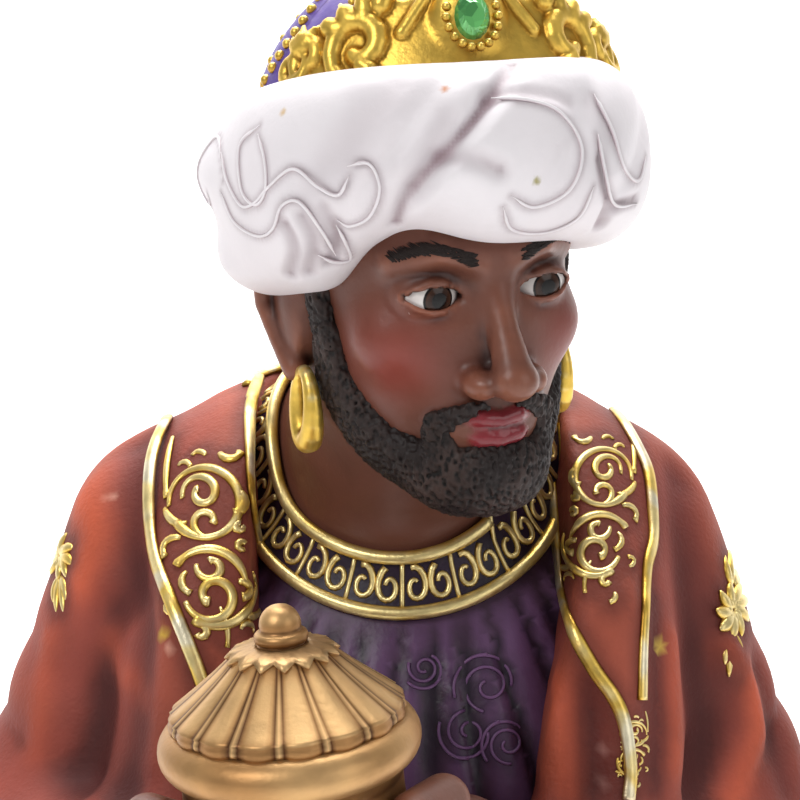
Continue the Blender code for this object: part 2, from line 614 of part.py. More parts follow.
def surface_net(values, low, cell):
    """Corners and four-sided faces of the surface where the values change sign."""
    inside = values < 0.0
    shape = np.array(values.shape) - 1
    count = np.zeros(shape, dtype=np.int8)
    offsets = [np.array((i, j, k)) for i in (0, 1) for j in (0, 1) for k in (0, 1)]
    for i, j, k in offsets:
        count += inside[i:i + shape[0], j:j + shape[1], k:k + shape[2]]
    cells = np.argwhere((count > 0) & (count < 8))
    total, hits = np.zeros((len(cells), 3)), np.zeros(len(cells))
    for axis in range(3):
        step = np.eye(3, dtype=int)[axis]
        for offset in offsets:
            if offset[axis]:
                continue
            a = values[tuple((cells + offset).T)]
            b = values[tuple((cells + offset + step).T)]
            crosses = (a < 0.0) != (b < 0.0)
            share = np.where(crosses, a / np.where(crosses, a - b, 1.0), 0.0)
            total += crosses[:, None] * (offset + share[:, None] * step)
            hits += crosses
    points = low + cell * (cells + total / hits[:, None])
    number = np.full(shape, -1)
    number[tuple(cells.T)] = np.arange(len(cells))
    faces = []
    for axis in range(3):
        u, v = np.eye(3, dtype=int)[(axis + 1) % 3], np.eye(3, dtype=int)[(axis + 2) % 3]
        head = np.take(inside, range(inside.shape[axis] - 1), axis=axis)
        tail = np.take(inside, range(1, inside.shape[axis]), axis=axis)
        edges = np.argwhere(head != tail)
        edges = edges[(edges @ u > 0) & (edges @ v > 0) & (edges @ u < shape @ u) & (edges @ v < shape @ v)]
        ring = [number[tuple((edges - back).T)] for back in (0 * u, u, u + v, v)]
        quads = np.stack(ring, axis=1)
        flip = ~head[tuple(edges.T)]
        quads[flip] = quads[flip][:, ::-1]
        faces.append(quads)
    return points, np.concatenate(faces)


def material(name, colour, roughness, metallic=0.0):
    paint = bpy.data.materials.new(name)
    paint.use_nodes = True
    shader = paint.node_tree.nodes["Principled BSDF"]
    shader.inputs["Base Color"].default_value = (*colour, 1.0)
    shader.inputs["Roughness"].default_value = roughness
    shader.inputs["Metallic"].default_value = metallic
    return paint


def add_object(name, mesh, paint):
    piece = bpy.data.objects.new(name, mesh)
    bpy.context.scene.collection.objects.link(piece)
    mesh.materials.append(paint)
    return piece


def add_cutter(name, mesh):
    cutter = bpy.data.objects.new(name, mesh)
    bpy.context.scene.collection.objects.link(cutter)
    cutter.hide_render = True
    cutter.display_type = "WIRE"
    return cutter


def subtract(piece, cutter):
    boolean = piece.modifiers.new("cut by " + cutter.name, "BOOLEAN")
    boolean.operation = "DIFFERENCE"
    boolean.object = cutter


# The jar and its lid, turned on the jar's axis

def jar_outline(grow):
    """Radius and height pairs from the foot to the knob, with the lid's lobe share at each."""
    foot = -JAR_BODY_HEIGHT
    rim = JAR_RIM_RADIUS
    half_rim = 0.5 * JAR_RIM_HEIGHT
    neck_low = -half_rim - 0.0035
    belly_height = 0.55 * foot
    rows = [(JAR_FOOT_RADIUS, foot, 0.0), (JAR_FOOT_RADIUS + 0.0012, foot + 0.0025, 0.0),
            (JAR_FOOT_RADIUS - 0.0008, foot + 0.0055, 0.0)]
    for share in (0.45, 0.75, 1.0):
        radius = JAR_FOOT_RADIUS + (JAR_BELLY_RADIUS - JAR_FOOT_RADIUS) * math.sin(0.5 * math.pi * share)
        rows.append((radius, foot + 0.0055 + (belly_height - foot - 0.0055) * share, 0.0))
    rows += [(0.5 * (JAR_BELLY_RADIUS + JAR_NECK_RADIUS) + 0.0004, 0.5 * (belly_height + neck_low), 0.0),
             (JAR_NECK_RADIUS, neck_low, 0.0), (rim - 0.0022, -half_rim, 0.0), (rim, -0.35 * half_rim, 0.0),
             (rim, 0.35 * half_rim, 0.0), (rim - 0.0018, half_rim, 0.0)]
    rows.append((JAR_LID_RADIUS - 0.0002, half_rim + 0.0003, 1.0))
    for share in (0.0, 0.12, 0.34, 0.60, 0.84, 0.93, 1.0):
        rows.append((lid_radius(share), lid_height(share), 1.0 if share < 0.80 else 0.0))
    rows += [(JAR_KNOB_RING, RING_MIDDLE - 0.0006, 0.0), (JAR_KNOB_RING, RING_MIDDLE + 0.0006, 0.0)]
    for lift in (-0.20, 0.35, 0.80):
        rows.append((JAR_KNOB_RADIUS * math.sqrt(1.0 - lift**2), KNOB_LOW + JAR_KNOB_RADIUS * (1.0 + lift), 0.0))
    return [(radius + grow, height, lobe) for radius, height, lobe in rows]


def jar_mesh(name, grow=0.0):
    around = 2 * JAR_LOBES
    rows = jar_outline(grow)
    form = bmesh.new()
    rings = []
    for radius, height, lobe in rows:
        ring = []
        for step in range(around):
            turn = 2.0 * math.pi * step / around
            swell = JAR_LOBE_RELIEF * lobe * (1 if step % 2 else -1)
            out = radius + swell
            ring.append(form.verts.new((out * math.cos(turn), out * math.sin(turn), height)))
        rings.append(ring)
    for low, high in zip(rings, rings[1:]):
        for step in range(around):
            after = (step + 1) % around
            form.faces.new((low[step], low[after], high[after], high[step]))
    form.faces.new(list(reversed(rings[0])))
    tip = form.verts.new((0.0, 0.0, JAR_LID_HEIGHT + grow))
    for step in range(around):
        form.faces.new((rings[-1][step], rings[-1][(step + 1) % around], tip))
    place = Matrix.Translation(Vector(JAR_SEAT)) @ Matrix(JAR_AXES.tolist()).to_4x4()
    form.transform(place)
    mesh = bpy.data.meshes.new(name)
    form.to_mesh(mesh)
    form.free()
    return mesh


# The stone, a faceted oval on the front peak of the crown

def gem_place():
    """Where the stone's back centre lies on the crown's front peak."""
    return np.array(CROWN_CENTRE) + CROWN_AXES @ np.array((0.0, -GEM_OUT, GEM_RISE))


def gem_mesh(name, grow=0.0):
    form = bmesh.new()
    rings = []
    back = 0.0024 if grow else 0.0
    for share, out in ((0.80, -back), (1.0, 0.30 * GEM_DEPTH), (0.58, GEM_DEPTH)):
        ring = []
        for step in range(GEM_SIDES):
            turn = 2.0 * math.pi * step / GEM_SIDES
            wide = (0.5 * GEM_WIDTH * share + grow) * math.cos(turn)
            high = (0.5 * GEM_HEIGHT * share + grow) * math.sin(turn)
            ring.append(form.verts.new((wide, -out + 0.0012 - (grow if out > 0 else -grow), high)))
        rings.append(ring)
    for near, far in zip(rings, rings[1:]):
        for step in range(GEM_SIDES):
            after = (step + 1) % GEM_SIDES
            form.faces.new((near[step], near[after], far[after], far[step]))
    form.faces.new(list(reversed(rings[0])))
    form.faces.new(rings[-1])
    place = Matrix.Translation(Vector(gem_place())) @ Matrix(CROWN_AXES.tolist()).to_4x4()
    form.transform(place)
    bmesh.ops.recalc_face_normals(form, faces=form.faces)
    mesh = bpy.data.meshes.new(name)
    form.to_mesh(mesh)
    form.free()
    return mesh


def figure_mesh(name):
    margin = 3.0 * CELL
    elbow_reach = max(abs(elbow[0]) for elbow in ELBOWS) + SLEEVE_RADII[1] + SWELL
    hand_reach = abs(JAR_SEAT[1]) + GRIP_RADIUS + PALM_RADIUS
    half_x = max(0.5 * BASE_WIDTH, MANTLE_WIDTHS[0] + SWELL, elbow_reach) + margin
    half_y = max(0.5 * BASE_DEPTH, MANTLE_DEPTHS[0] + BODY_MIDDLE[-1] + SWELL, hand_reach) + margin
    top = max(CROWN_CENTRE[2] + CROWN_BAND + CROWN_PEAK, CROWN_CENTRE[2] + CAP_MIDDLE[2] + CAP_RADII[2]) + SWELL
    values, low = read_band(figure_form, (-half_x, -half_y, 0.0), (half_x, half_y, top + margin), CELL)
    below = np.full(values.shape[:2] + (1,), CELL)
    values = np.concatenate((below, values), axis=2)
    low = low - np.array((0.0, 0.0, CELL))
    points, faces = surface_net(fill_corners(values, CELL), low, CELL)
    points[points[:, 2] < 0.6 * CELL, 2] = 0.0
    mesh = bpy.data.meshes.new(name)
    mesh.from_pydata(points.tolist(), [], faces.tolist())
    mesh.update()
    return mesh


def keep_largest(mesh):
    """Drop specks that the grid leaves inside folds."""
    form = bmesh.new()
    form.from_mesh(mesh)
    unseen = set(form.verts)
    bodies = []
    while unseen:
        body = {unseen.pop()}
        edge = list(body)
        while edge:
            near = {e.other_vert(v) for v in edge for e in v.link_edges} & unseen
            unseen -= near
            body |= near
            edge = list(near)
        bodies.append(body)
    largest = max(bodies, key=len)
    spare = [v for v in form.verts if v not in largest]
    bmesh.ops.delete(form, geom=spare, context="VERTS")
    form.to_mesh(mesh)
    form.free()


def build():
    for old in list(bpy.data.objects):
        bpy.data.objects.remove(old, do_unlink=True)
    robe_paint = material("painted_resin", (0.26, 0.05, 0.03), 0.6)
    jar_paint = material("bronze_gold", (0.52, 0.25, 0.09), 0.35, 0.8)
    stone = material("green_stone", (0.02, 0.30, 0.08), 0.1)

    mesh = figure_mesh("figure")
    keep_largest(mesh)
    figure = add_object("figure", mesh, robe_paint)
    plain = figure.vertex_groups.new(name="plain")
    heights = np.array([corner.co.z for corner in mesh.vertices])
    for weight, spots in ((0.5, heights > PLAIN_TOP), (1.0, heights <= PLAIN_TOP)):
        plain.add(np.flatnonzero(spots).tolist(), weight, "REPLACE")
    thin = figure.modifiers.new("fewer faces", "DECIMATE")
    thin.ratio = FIGURE_TRIANGLES / (2.0 * len(mesh.polygons))
    thin.vertex_group = plain.name
    thin.vertex_group_factor = DETAIL_SHARE
    subtract(figure, add_cutter("jar_room", jar_mesh("jar_room", FIT_GAP)))
    subtract(figure, add_cutter("gem_room", gem_mesh("gem_room", FIT_GAP)))
    mesh.shade_smooth()

    jar = add_object("gift_jar", jar_mesh("gift_jar"), jar_paint)
    jar.data.shade_smooth()
    add_object("crown_gem", gem_mesh("crown_gem"), stone)


build()
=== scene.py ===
import math

import bpy
import numpy as np
from mathutils import Matrix, Vector
from mathutils.kdtree import KDTree


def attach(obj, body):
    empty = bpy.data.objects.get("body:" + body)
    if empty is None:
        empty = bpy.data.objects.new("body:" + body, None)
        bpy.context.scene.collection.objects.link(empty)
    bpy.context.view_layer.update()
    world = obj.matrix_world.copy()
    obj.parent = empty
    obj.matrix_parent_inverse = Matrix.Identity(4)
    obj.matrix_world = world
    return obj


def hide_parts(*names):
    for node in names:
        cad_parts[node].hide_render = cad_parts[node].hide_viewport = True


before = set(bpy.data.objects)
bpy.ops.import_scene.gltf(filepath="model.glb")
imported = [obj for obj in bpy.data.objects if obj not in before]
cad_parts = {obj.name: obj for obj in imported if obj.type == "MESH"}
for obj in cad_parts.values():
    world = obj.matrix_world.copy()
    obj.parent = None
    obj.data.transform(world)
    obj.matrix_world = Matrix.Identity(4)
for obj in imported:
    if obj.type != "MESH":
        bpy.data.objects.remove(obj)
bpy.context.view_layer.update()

# Driving sizes of the figure
HEAD = 0.092                   # chin to skull top, the measure of the body's proportions
HEAD_CENTRE = (0.006, -0.029, 0.573)
HEAD_TURN, HEAD_NOD, HEAD_TILT = 24.0, 6.0, 4.0
TURBAN_RISE = 0.225            # ring centre above the eye line, share of HEAD
TURBAN_TIP_BACK, TURBAN_TILT = 8.0, 3.0

# Driving sizes of the base
BASE_WIDTH, BASE_DEPTH, BASE_HEIGHT = 0.244, 0.246, 0.020
BASE_BEVEL = 0.005

# Driving sizes of the jar
JAR_SEAT = (-0.021, -0.094, 0.488)
JAR_LEAN = 4.0
JAR_RIM_RADIUS = 0.0252
JAR_RIM_HEIGHT = 0.0092
JAR_NECK_RADIUS = 0.0212
JAR_BELLY_RADIUS = 0.0236
JAR_FOOT_RADIUS = 0.0135
JAR_BODY_HEIGHT = 0.047
JAR_LID_RADIUS = 0.0224
JAR_LID_HEIGHT = 0.0268
JAR_LID_EDGE = 0.0022           # thickness of the lobes' lower ends
JAR_KNOB_RADIUS = 0.0040
JAR_KNOB_RING = 0.0052
JAR_LOBES = 16
JAR_LOBE_RELIEF = 0.0011

# Driving sizes of the stone in the crown
GEM_WIDTH, GEM_HEIGHT, GEM_DEPTH = 0.0078, 0.0098, 0.0042

# Driving sizes of the crown, an open diadem round the front of the cap
CROWN_CENTRE = (0.0079, -0.024, 0.6075)
CROWN_TURN, CROWN_TIP_BACK, CROWN_TILT = 11.0, 7.0, 2.0
CROWN_RADIUS = 0.0387
CROWN_SQUASH = 0.94            # its depth as a share of its width
CROWN_SPAN = 1.12              # from the middle to each end, in radians
CROWN_WALL = 0.0036
CROWN_BAND = 0.010
CROWN_PEAK = 0.020
CROWN_FLARE = -0.30            # how much wider it grows by height
GEM_RISE = 0.0122              # the stone's centre above the crown's foot
GEM_OUT = (CROWN_RADIUS + CROWN_FLARE * GEM_RISE) * CROWN_SQUASH + 0.5 * CROWN_WALL + 0.0016

# Driving sizes of the cap behind the crown
CAP_MIDDLE = (0.0, 0.001, -0.0035)
CAP_RADII = (0.0385, 0.0355, 0.0333)
CAP_RIBS = 16


def turned(turn, nod, tilt):
    """The axes of a form that is turned about Z, nodded about X and tilted about Y."""
    spin = Matrix.Rotation(math.radians(turn), 3, "Z")
    spin = spin @ Matrix.Rotation(math.radians(nod), 3, "X")
    spin = spin @ Matrix.Rotation(math.radians(tilt), 3, "Y")
    return np.array(spin)


HEAD_AXES = turned(HEAD_TURN, HEAD_NOD, -HEAD_TILT)
TURBAN_AXES = turned(HEAD_TURN, -TURBAN_TIP_BACK, -TURBAN_TILT)
TURBAN_CENTRE = np.array(HEAD_CENTRE) + HEAD_AXES @ np.array((0.0, 0.015, TURBAN_RISE)) * HEAD
CROWN_AXES = turned(CROWN_TURN, -CROWN_TIP_BACK, -CROWN_TILT)
JAR_AXES = turned(0.0, 0.0, -JAR_LEAN)


# Signed distances of plain forms

def length(vectors):
    return np.sqrt(np.einsum("ij,ij->i", vectors, vectors))


def ellipsoid(p, centre, radii):
    radii = np.array(radii)
    q = p - np.array(centre)
    near = length(q / radii)
    return near * (near - 1.0) / np.maximum(length(q / radii**2), 1e-9)


def cone(p, start, end, start_radius, end_radius):
    start, end = np.array(start), np.array(end)
    run = end - start
    along = np.clip((p - start) @ run / (run @ run), 0.0, 1.0)
    return length(p - start - along[:, None] * run) - (start_radius + (end_radius - start_radius) * along)


def chain(p, points, radii):
    """A limb or roll through some points, with a radius at each."""
    nearest = None
    for i in range(len(points) - 1):
        link = cone(p, points[i], points[i + 1], radii[i], radii[i + 1])
        nearest = link if nearest is None else np.minimum(nearest, link)
    return nearest


def join(a, b, blend):
    """Smooth union."""
    share = np.clip(0.5 + 0.5 * (b - a) / blend, 0.0, 1.0)
    return b + (a - b) * share - blend * share * (1.0 - share)


def cut(a, b, blend):
    """Smooth removal of b from a."""
    return -join(-a, b, blend)


def overlap(a, b, blend):
    """Smooth intersection."""
    return -join(-a, -b, blend)


def mirrored(points, side):
    return [(side * x, y, z) for x, y, z in points]


def eased(z, heights, values, reach=0.020):
    """A value that changes smoothly with height between a few stated ones."""
    steps = (-1.0, -0.5, 0.0, 0.5, 1.0)
    return sum(np.interp(z + reach * step, heights, values) for step in steps) / len(steps)


def ramp(x, low, high):
    share = np.clip((x - low) / (high - low), 0.0, 1.0)
    return share * share * (3.0 - 2.0 * share)


# The head, in its own frame: units of HEAD, eye line at z = 0, the face towards -y

def to_head(p):
    return (p - np.array(HEAD_CENTRE)) @ HEAD_AXES / HEAD


def skull_form(q):
    form = ellipsoid(q, (0, 0.06, 0.12), (0.335, 0.415, 0.385))
    form = join(form, ellipsoid(q, (0, -0.10, -0.14), (0.265, 0.275, 0.34)), 0.10)
    form = join(form, ellipsoid(q, (0, -0.285, -0.42), (0.085, 0.085, 0.075)), 0.08)
    for side in (-1, 1):
        jaw = mirrored([(0.225, 0.04, -0.26), (0.06, -0.26, -0.43)], side)
        form = join(form, chain(q, jaw, (0.060, 0.060)), 0.10)
        form = join(form, ellipsoid(q, (side * 0.180, -0.22, -0.115), (0.090, 0.082, 0.08)), 0.07)
    return form


EYE_PLACE = (0.135, -0.262, -0.002)
EYE_RADIUS = 0.0834
EYE_HALF_WIDTH, EYE_HALF_HEIGHT = 0.068, 0.026


def lid_route(side, rise):
    """The edge of a lid, which follows the eyeball between the eye's corners."""
    points = []
    for share in (-1.0, -0.6, -0.2, 0.2, 0.6, 1.0):
        across = EYE_HALF_WIDTH * share
        up = rise * (1.0 - share**2) + 0.05 * across
        out = math.sqrt(EYE_RADIUS**2 - across**2 - up**2)
        points.append((side * (EYE_PLACE[0] + across), EYE_PLACE[1] - out, EYE_PLACE[2] + up))
    return points


def face_form(q):
    form = skull_form(q)
    for side in (-1, 1):
        brow = mirrored([(0.035, -0.355, 0.07), (0.12, -0.345, 0.095), (0.205, -0.27, 0.075)], side)
        form = join(form, chain(q, brow, (0.024, 0.026, 0.024)), 0.05)
        socket = (side * EYE_PLACE[0], -0.40, 0.005)
        form = cut(form, ellipsoid(q, socket, (0.080, 0.078, 0.052)), 0.045)
        ball = (side * EYE_PLACE[0], EYE_PLACE[1], EYE_PLACE[2])
        form = join(form, ellipsoid(q, ball, (EYE_RADIUS,) * 3), 0.008)
        upper, lower = lid_route(side, EYE_HALF_HEIGHT + 0.004), lid_route(side, -EYE_HALF_HEIGHT - 0.003)
        form = join(form, chain(q, upper, (0.007, 0.013, 0.016, 0.016, 0.013, 0.008)), 0.010)
        form = join(form, chain(q, lower, (0.007, 0.010, 0.011, 0.011, 0.010, 0.007)), 0.012)
    nose = chain(q, [(0, -0.345, 0.03), (0, -0.400, -0.08), (0, -0.445, -0.170)], (0.030, 0.034, 0.046))
    nose = join(nose, ellipsoid(q, (0, -0.452, -0.182), (0.052, 0.046, 0.042)), 0.02)
    for side in (-1, 1):
        nose = join(nose, ellipsoid(q, (side * 0.062, -0.400, -0.192), (0.036, 0.052, 0.034)), 0.02)
    form = join(form, nose, 0.035)
    for side in (-1, 1):
        form = cut(form, ellipsoid(q, (side * 0.032, -0.425, -0.226), (0.016, 0.026, 0.016)), 0.010)
    form = join(form, ellipsoid(q, (0, -0.315, -0.30), (0.125, 0.065, 0.075)), 0.05)
    upper_lip = join(form, chain(q, UPPER_LIP, (0.008, 0.019, 0.018, 0.019, 0.008)), 0.012)
    lower_lip = join(form, chain(q, LOWER_LIP, (0.008, 0.024, 0.026, 0.024, 0.008)), 0.012)
    return np.minimum(upper_lip, lower_lip)


UPPER_LIP = [(-0.108, -0.325, -0.301), (-0.045, -0.374, -0.280), (0, -0.380, -0.287), (0.045, -0.374, -0.280),
             (0.108, -0.325, -0.301)]
LOWER_LIP = [(-0.100, -0.325, -0.307), (-0.045, -0.364, -0.326), (0, -0.370, -0.330), (0.045, -0.364, -0.326),
             (0.100, -0.325, -0.307)]


def ear_form(q):
    form = None
    for side in (-1, 1):
        rim = [(0.315, -0.02, -0.05), (0.345, 0.00, 0.03), (0.370, 0.06, 0.06), (0.385, 0.105, 0.01),
               (0.380, 0.105, -0.08), (0.360, 0.065, -0.16), (0.338, 0.02, -0.225)]
        ear = chain(q, mirrored(rim, side), (0.018, 0.020, 0.022, 0.022, 0.020, 0.022, 0.030))
        ear = join(ear, ellipsoid(q, (side * 0.335, 0.045, -0.09), (0.024, 0.065, 0.13)), 0.02)
        ear = join(ear, ellipsoid(q, (side * 0.300, 0.045, -0.04), (0.062, 0.085, 0.17)), 0.02)
        form = ear if form is None else np.minimum(form, ear)
    return form


def beard_form(q):
    """A close beard: the jaw's surface raised inside a region from sideburns to moustache."""
    region = ellipsoid(q, (0, -0.33, -0.43), (0.14, 0.12, 0.10))
    for side in (-1, 1):
        jaw = [(0.315, -0.060, 0.10), (0.302, -0.075, -0.08), (0.262, -0.07, -0.24),
               (0.185, -0.17, -0.39), (0.08, -0.30, -0.44)]
        region = join(region, chain(q, mirrored(jaw, side), (0.030, 0.036, 0.060, 0.085, 0.085)), 0.03)
        side_lip = [(0.125, -0.32, -0.37), (0.138, -0.33, -0.295),
                    (0.070, -0.395, -0.257), (0, -0.42, -0.257)]
        region = join(region, chain(q, mirrored(side_lip, side), (0.045, 0.028, 0.021, 0.016)), 0.012)
    region = cut(region, ellipsoid(q, (0, -0.375, -0.305), (0.098, 0.08, 0.040)), 0.01)
    return overlap(skull_form(q) - 0.032, region, 0.02)


def earring_form(q):
    """A thick crescent hoop that hangs from each lobe, run into the neck behind it."""
    form = None
    for side in (-1, 1):
        centre = np.array((side * 0.332, -0.028, -0.305))
        turn = np.linspace(0.0, 2.0 * math.pi, 17)
        points = [centre + np.array((0.0, -0.046 * math.sin(a), 0.085 * math.cos(a))) for a in turn]
        radii = [0.016 + 0.014 * (1.0 - math.cos(a)) / 2.0 for a in turn]
        hoop = chain(q, points, radii)
        form = hoop if form is None else np.minimum(form, hoop)
    return form


# The turban, in its own frame: metres, ring centre at the origin

def to_turban(p):
    return (p - TURBAN_CENTRE) @ TURBAN_AXES


TURBAN_RING = (0.345 * HEAD, 0.390 * HEAD)
TURBAN_THICK, TURBAN_HIGH = 0.172 * HEAD, 0.207 * HEAD
TURBAN_FULLNESS = 2.35         # 2 for a round roll, more for a fuller one
TURBAN_LIFT = 0.0048           # how far its lower edge rises over the brow
TURBAN_DROOP = 0.0055          # how far its sides hang lower
TURBAN_DIP = 0.0022            # how far its upper edge sinks in front
TURBAN_FLAT = 0.0020           # how much thinner it is over the ear


def turban_folds(angle, height):
    """How far the wound cloth stands out or in, by place round the ring and up it."""
    crossing = angle - (-0.256 + 20.0 * height)
    under = ramp(-crossing, -0.05, 0.09)
    relief = -0.0026 * np.exp(np.minimum(crossing, 0.0) / 0.22) * under
    relief = relief + 0.0014 * np.exp(-np.maximum(crossing, 0.0) / 0.5) * (1.0 - under)
    for place, depth, width in ((-0.32, 0.0016, 0.09), (0.42, 0.0012, 0.09), (0.95, 0.0010, 0.10)):
        relief = relief - depth * np.exp(-((crossing - place) / width) ** 2)
    back = ramp(np.abs(angle), 1.3, 2.0)
    return relief + back * 0.0016 * np.sin(3.0 * angle + 260.0 * height)


def turban_form(t):
    angle = np.arctan2(t[:, 0], -t[:, 1])
    ring_x, ring_y = TURBAN_RING
    stretch = np.sqrt((t[:, 0] / ring_x) ** 2 + (t[:, 1] / ring_y) ** 2)
    middle = np.sqrt((ring_x * np.sin(angle)) ** 2 + (ring_y * np.cos(angle)) ** 2)
    out = (stretch - 1.0) * middle
    lift = TURBAN_LIFT * np.exp(-((angle + 0.55) / 0.32) ** 2)
    droop = TURBAN_DROOP * ramp(-angle, 0.80, 1.30) * ramp(2.6 + angle, 0.0, 0.8)
    droop = droop + 0.4 * TURBAN_DROOP * np.exp(-((angle - 1.15) / 0.45) ** 2)
    dip = TURBAN_DIP * np.exp(-(angle / 0.75) ** 2)
    high = TURBAN_HIGH + 0.5 * (droop - lift - dip)
    up = t[:, 2] + 0.5 * (droop - lift + dip)
    thick = TURBAN_THICK + turban_folds(angle, t[:, 2]) - TURBAN_FLAT * np.exp(-((angle + 1.45) / 0.45) ** 2)
    near = np.abs(out / thick) ** TURBAN_FULLNESS + np.abs(up / high) ** TURBAN_FULLNESS
    near = near ** (1.0 / TURBAN_FULLNESS)
    roll = (near - 1.0) * np.minimum(thick, high)
    inside = ellipsoid(t, (0, 0, 0.002), (ring_x, ring_y, 0.19 * HEAD))
    return join(roll, inside, 0.004)


def crown_top(angle):
    """Height of the crown's edge round the ring: a tall front peak and leaf tips beside it."""
    height = CROWN_BAND - 0.003 + CROWN_PEAK * np.exp(-(angle / 0.34) ** 2)
    for side in (-1, 1):
        for place, rise, width in ((0.56, 0.56, 0.19), (0.92, 0.34, 0.13)):
            height = height + rise * CROWN_PEAK * np.exp(-((angle - side * place) / width) ** 2)
    return height


# The crown and the cap behind it, in the crown's frame: metres, the middle of its foot at the origin

def to_crown(p):
    return (p - np.array(CROWN_CENTRE)) @ CROWN_AXES


def crown_form(c):
    angle = np.arctan2(c[:, 0], -c[:, 1] / CROWN_SQUASH)
    radius = CROWN_RADIUS + CROWN_FLARE * c[:, 2]
    wall = np.abs(np.hypot(c[:, 0], c[:, 1] / CROWN_SQUASH) - radius) - 0.5 * CROWN_WALL
    edge = np.maximum(-c[:, 2], c[:, 2] - crown_top(angle))
    edge = np.maximum(0.7 * edge, (np.abs(angle) - CROWN_SPAN) * CROWN_RADIUS)
    crown = overlap(wall, edge, 0.0015)
    boss = ellipsoid(c, (0, -GEM_OUT + 0.0026, GEM_RISE), (0.0074, 0.0040, 0.0086))
    return join(crown, boss, 0.002)


def cap_form(c):
    angle = np.arctan2(c[:, 0] - CAP_MIDDLE[0], c[:, 1] - CAP_MIDDLE[1])
    ribs = 0.0010 * np.abs(np.sin(0.5 * CAP_RIBS * angle))
    dome = ellipsoid(c, CAP_MIDDLE, CAP_RADII) - ribs
    top = (CAP_MIDDLE[0], CAP_MIDDLE[1], CAP_MIDDLE[2] + CAP_RADII[2])
    return join(dome, ellipsoid(c, top, (0.0045, 0.0045, 0.0035)), 0.002)


# The body, in world metres

NECK_BASE = (0.0, 0.022, 0.492)
COLLAR_CENTRE = np.array((0.0005, 0.012, 0.515))
COLLAR_AXES = turned(0.0, 32.0, 0.0)
COLLAR_INNER, COLLAR_OUTER = 0.0303, 0.0398
COLLAR_RAISE = 0.0014

BODY_HEIGHTS = (0.00, 0.10, 0.22, 0.34, 0.42, 0.47, 0.51, 0.55)
MANTLE_WIDTHS = (0.103, 0.099, 0.097, 0.096, 0.092, 0.080, 0.058, 0.030)
MANTLE_DEPTHS = (0.096, 0.087, 0.079, 0.070, 0.062, 0.052, 0.042, 0.026)
TUNIC_WIDTHS = (0.090, 0.082, 0.074, 0.066, 0.064, 0.062, 0.05, 0.03)
TUNIC_DEPTHS = (0.092, 0.082, 0.072, 0.062, 0.056, 0.050, 0.04, 0.03)
BODY_MIDDLE = (0.006, 0.010, 0.012, 0.012, 0.014, 0.018, 0.022, 0.024)
HEM_HEIGHT = 0.034
MANTLE_HEM = 0.030
TUNIC_TOP, MANTLE_TOP = 0.47, 0.53

OPENING_HEIGHTS = (0.03, 0.30, 0.42, 0.45, 0.47, 0.50, 0.545)
OPENING_LEFT = (-0.047, -0.040, -0.032, -0.030, -0.031, -0.034, -0.036)
OPENING_RIGHT = (0.052, 0.054, 0.036, 0.028, 0.032, 0.041, 0.038)

SHOULDERS = ((-0.0565, 0.018, 0.4990), (0.0520, 0.018, 0.4985))
ELBOWS = ((-0.0825, 0.002, 0.410), (0.0808, 0.004, 0.408))
WRISTS = ((-0.062, -0.066, 0.432), (0.020, -0.072, 0.430))
SLEEVE_RADII = (0.0260, 0.0328, 0.0250)


def pleats(angle, z, count, lean, sharp=0.08):
    """Rounded ridges with sharp valleys, running down the cloth and drifting round it."""
    phase = 0.5 * count * angle + lean * z + 0.6 * np.sin(3.0 * angle + 9.0 * z)
    return np.sqrt(np.sin(phase) ** 2 + sharp**2)


def drape(p, widths, depths, fold_count, fold_depth, lean):
    x, y, z = p.T
    back = y - eased(z, BODY_HEIGHTS, BODY_MIDDLE)
    angle = np.arctan2(x, -back)
    wide, deep = eased(z, BODY_HEIGHTS, widths), eased(z, BODY_HEIGHTS, depths)
    edge = 1.0 / np.sqrt((np.sin(angle) / wide) ** 2 + (np.cos(angle) / deep) ** 2)
    fade = eased(z, (0.0, 0.20, 0.42, 0.50), (1.0, 0.85, 0.45, 0.15))
    fold = fold_depth * fade * (pleats(angle, z, fold_count, lean) - 0.7)
    return 0.85 * (np.hypot(x, back) - edge - fold)


def arm_folds(p, shoulder, elbow):
    """Soft rolls of cloth that gather round the elbow."""
    run = np.array(elbow) - np.array(shoulder)
    along = (p - np.array(shoulder)) @ run / (run @ run)
    near = np.exp(-((along - 0.75) / 0.45) ** 2)
    swing = 17.0 * along + 34.0 * (p[:, 0] + 1.6 * p[:, 1])
    return 0.0022 * near * (np.sqrt(np.sin(swing) ** 2 + 0.03) - 0.6)


def sleeve_form(p, i):
    upper = cone(p, SHOULDERS[i], ELBOWS[i], SLEEVE_RADII[0], SLEEVE_RADII[1])
    lower = cone(p, ELBOWS[i], WRISTS[i], SLEEVE_RADII[1], SLEEVE_RADII[2])
    arm = join(upper, lower, 0.016) - arm_folds(p, SHOULDERS[i], ELBOWS[i])
    droop_low = np.array(WRISTS[i]) * 0.45 + np.array(ELBOWS[i]) * 0.55 - np.array((0, 0, 0.05))
    hang = cone(p, np.array(WRISTS[i]) - np.array((0, 0, 0.006)), droop_low, 0.019, 0.016)
    arm = join(arm, hang, 0.026)
    reach = np.array(WRISTS[i]) - np.array(ELBOWS[i])
    reach = reach / np.linalg.norm(reach)
    past_wrist = (p - np.array(WRISTS[i])) @ reach - 0.004
    return overlap(arm, past_wrist, 0.004)


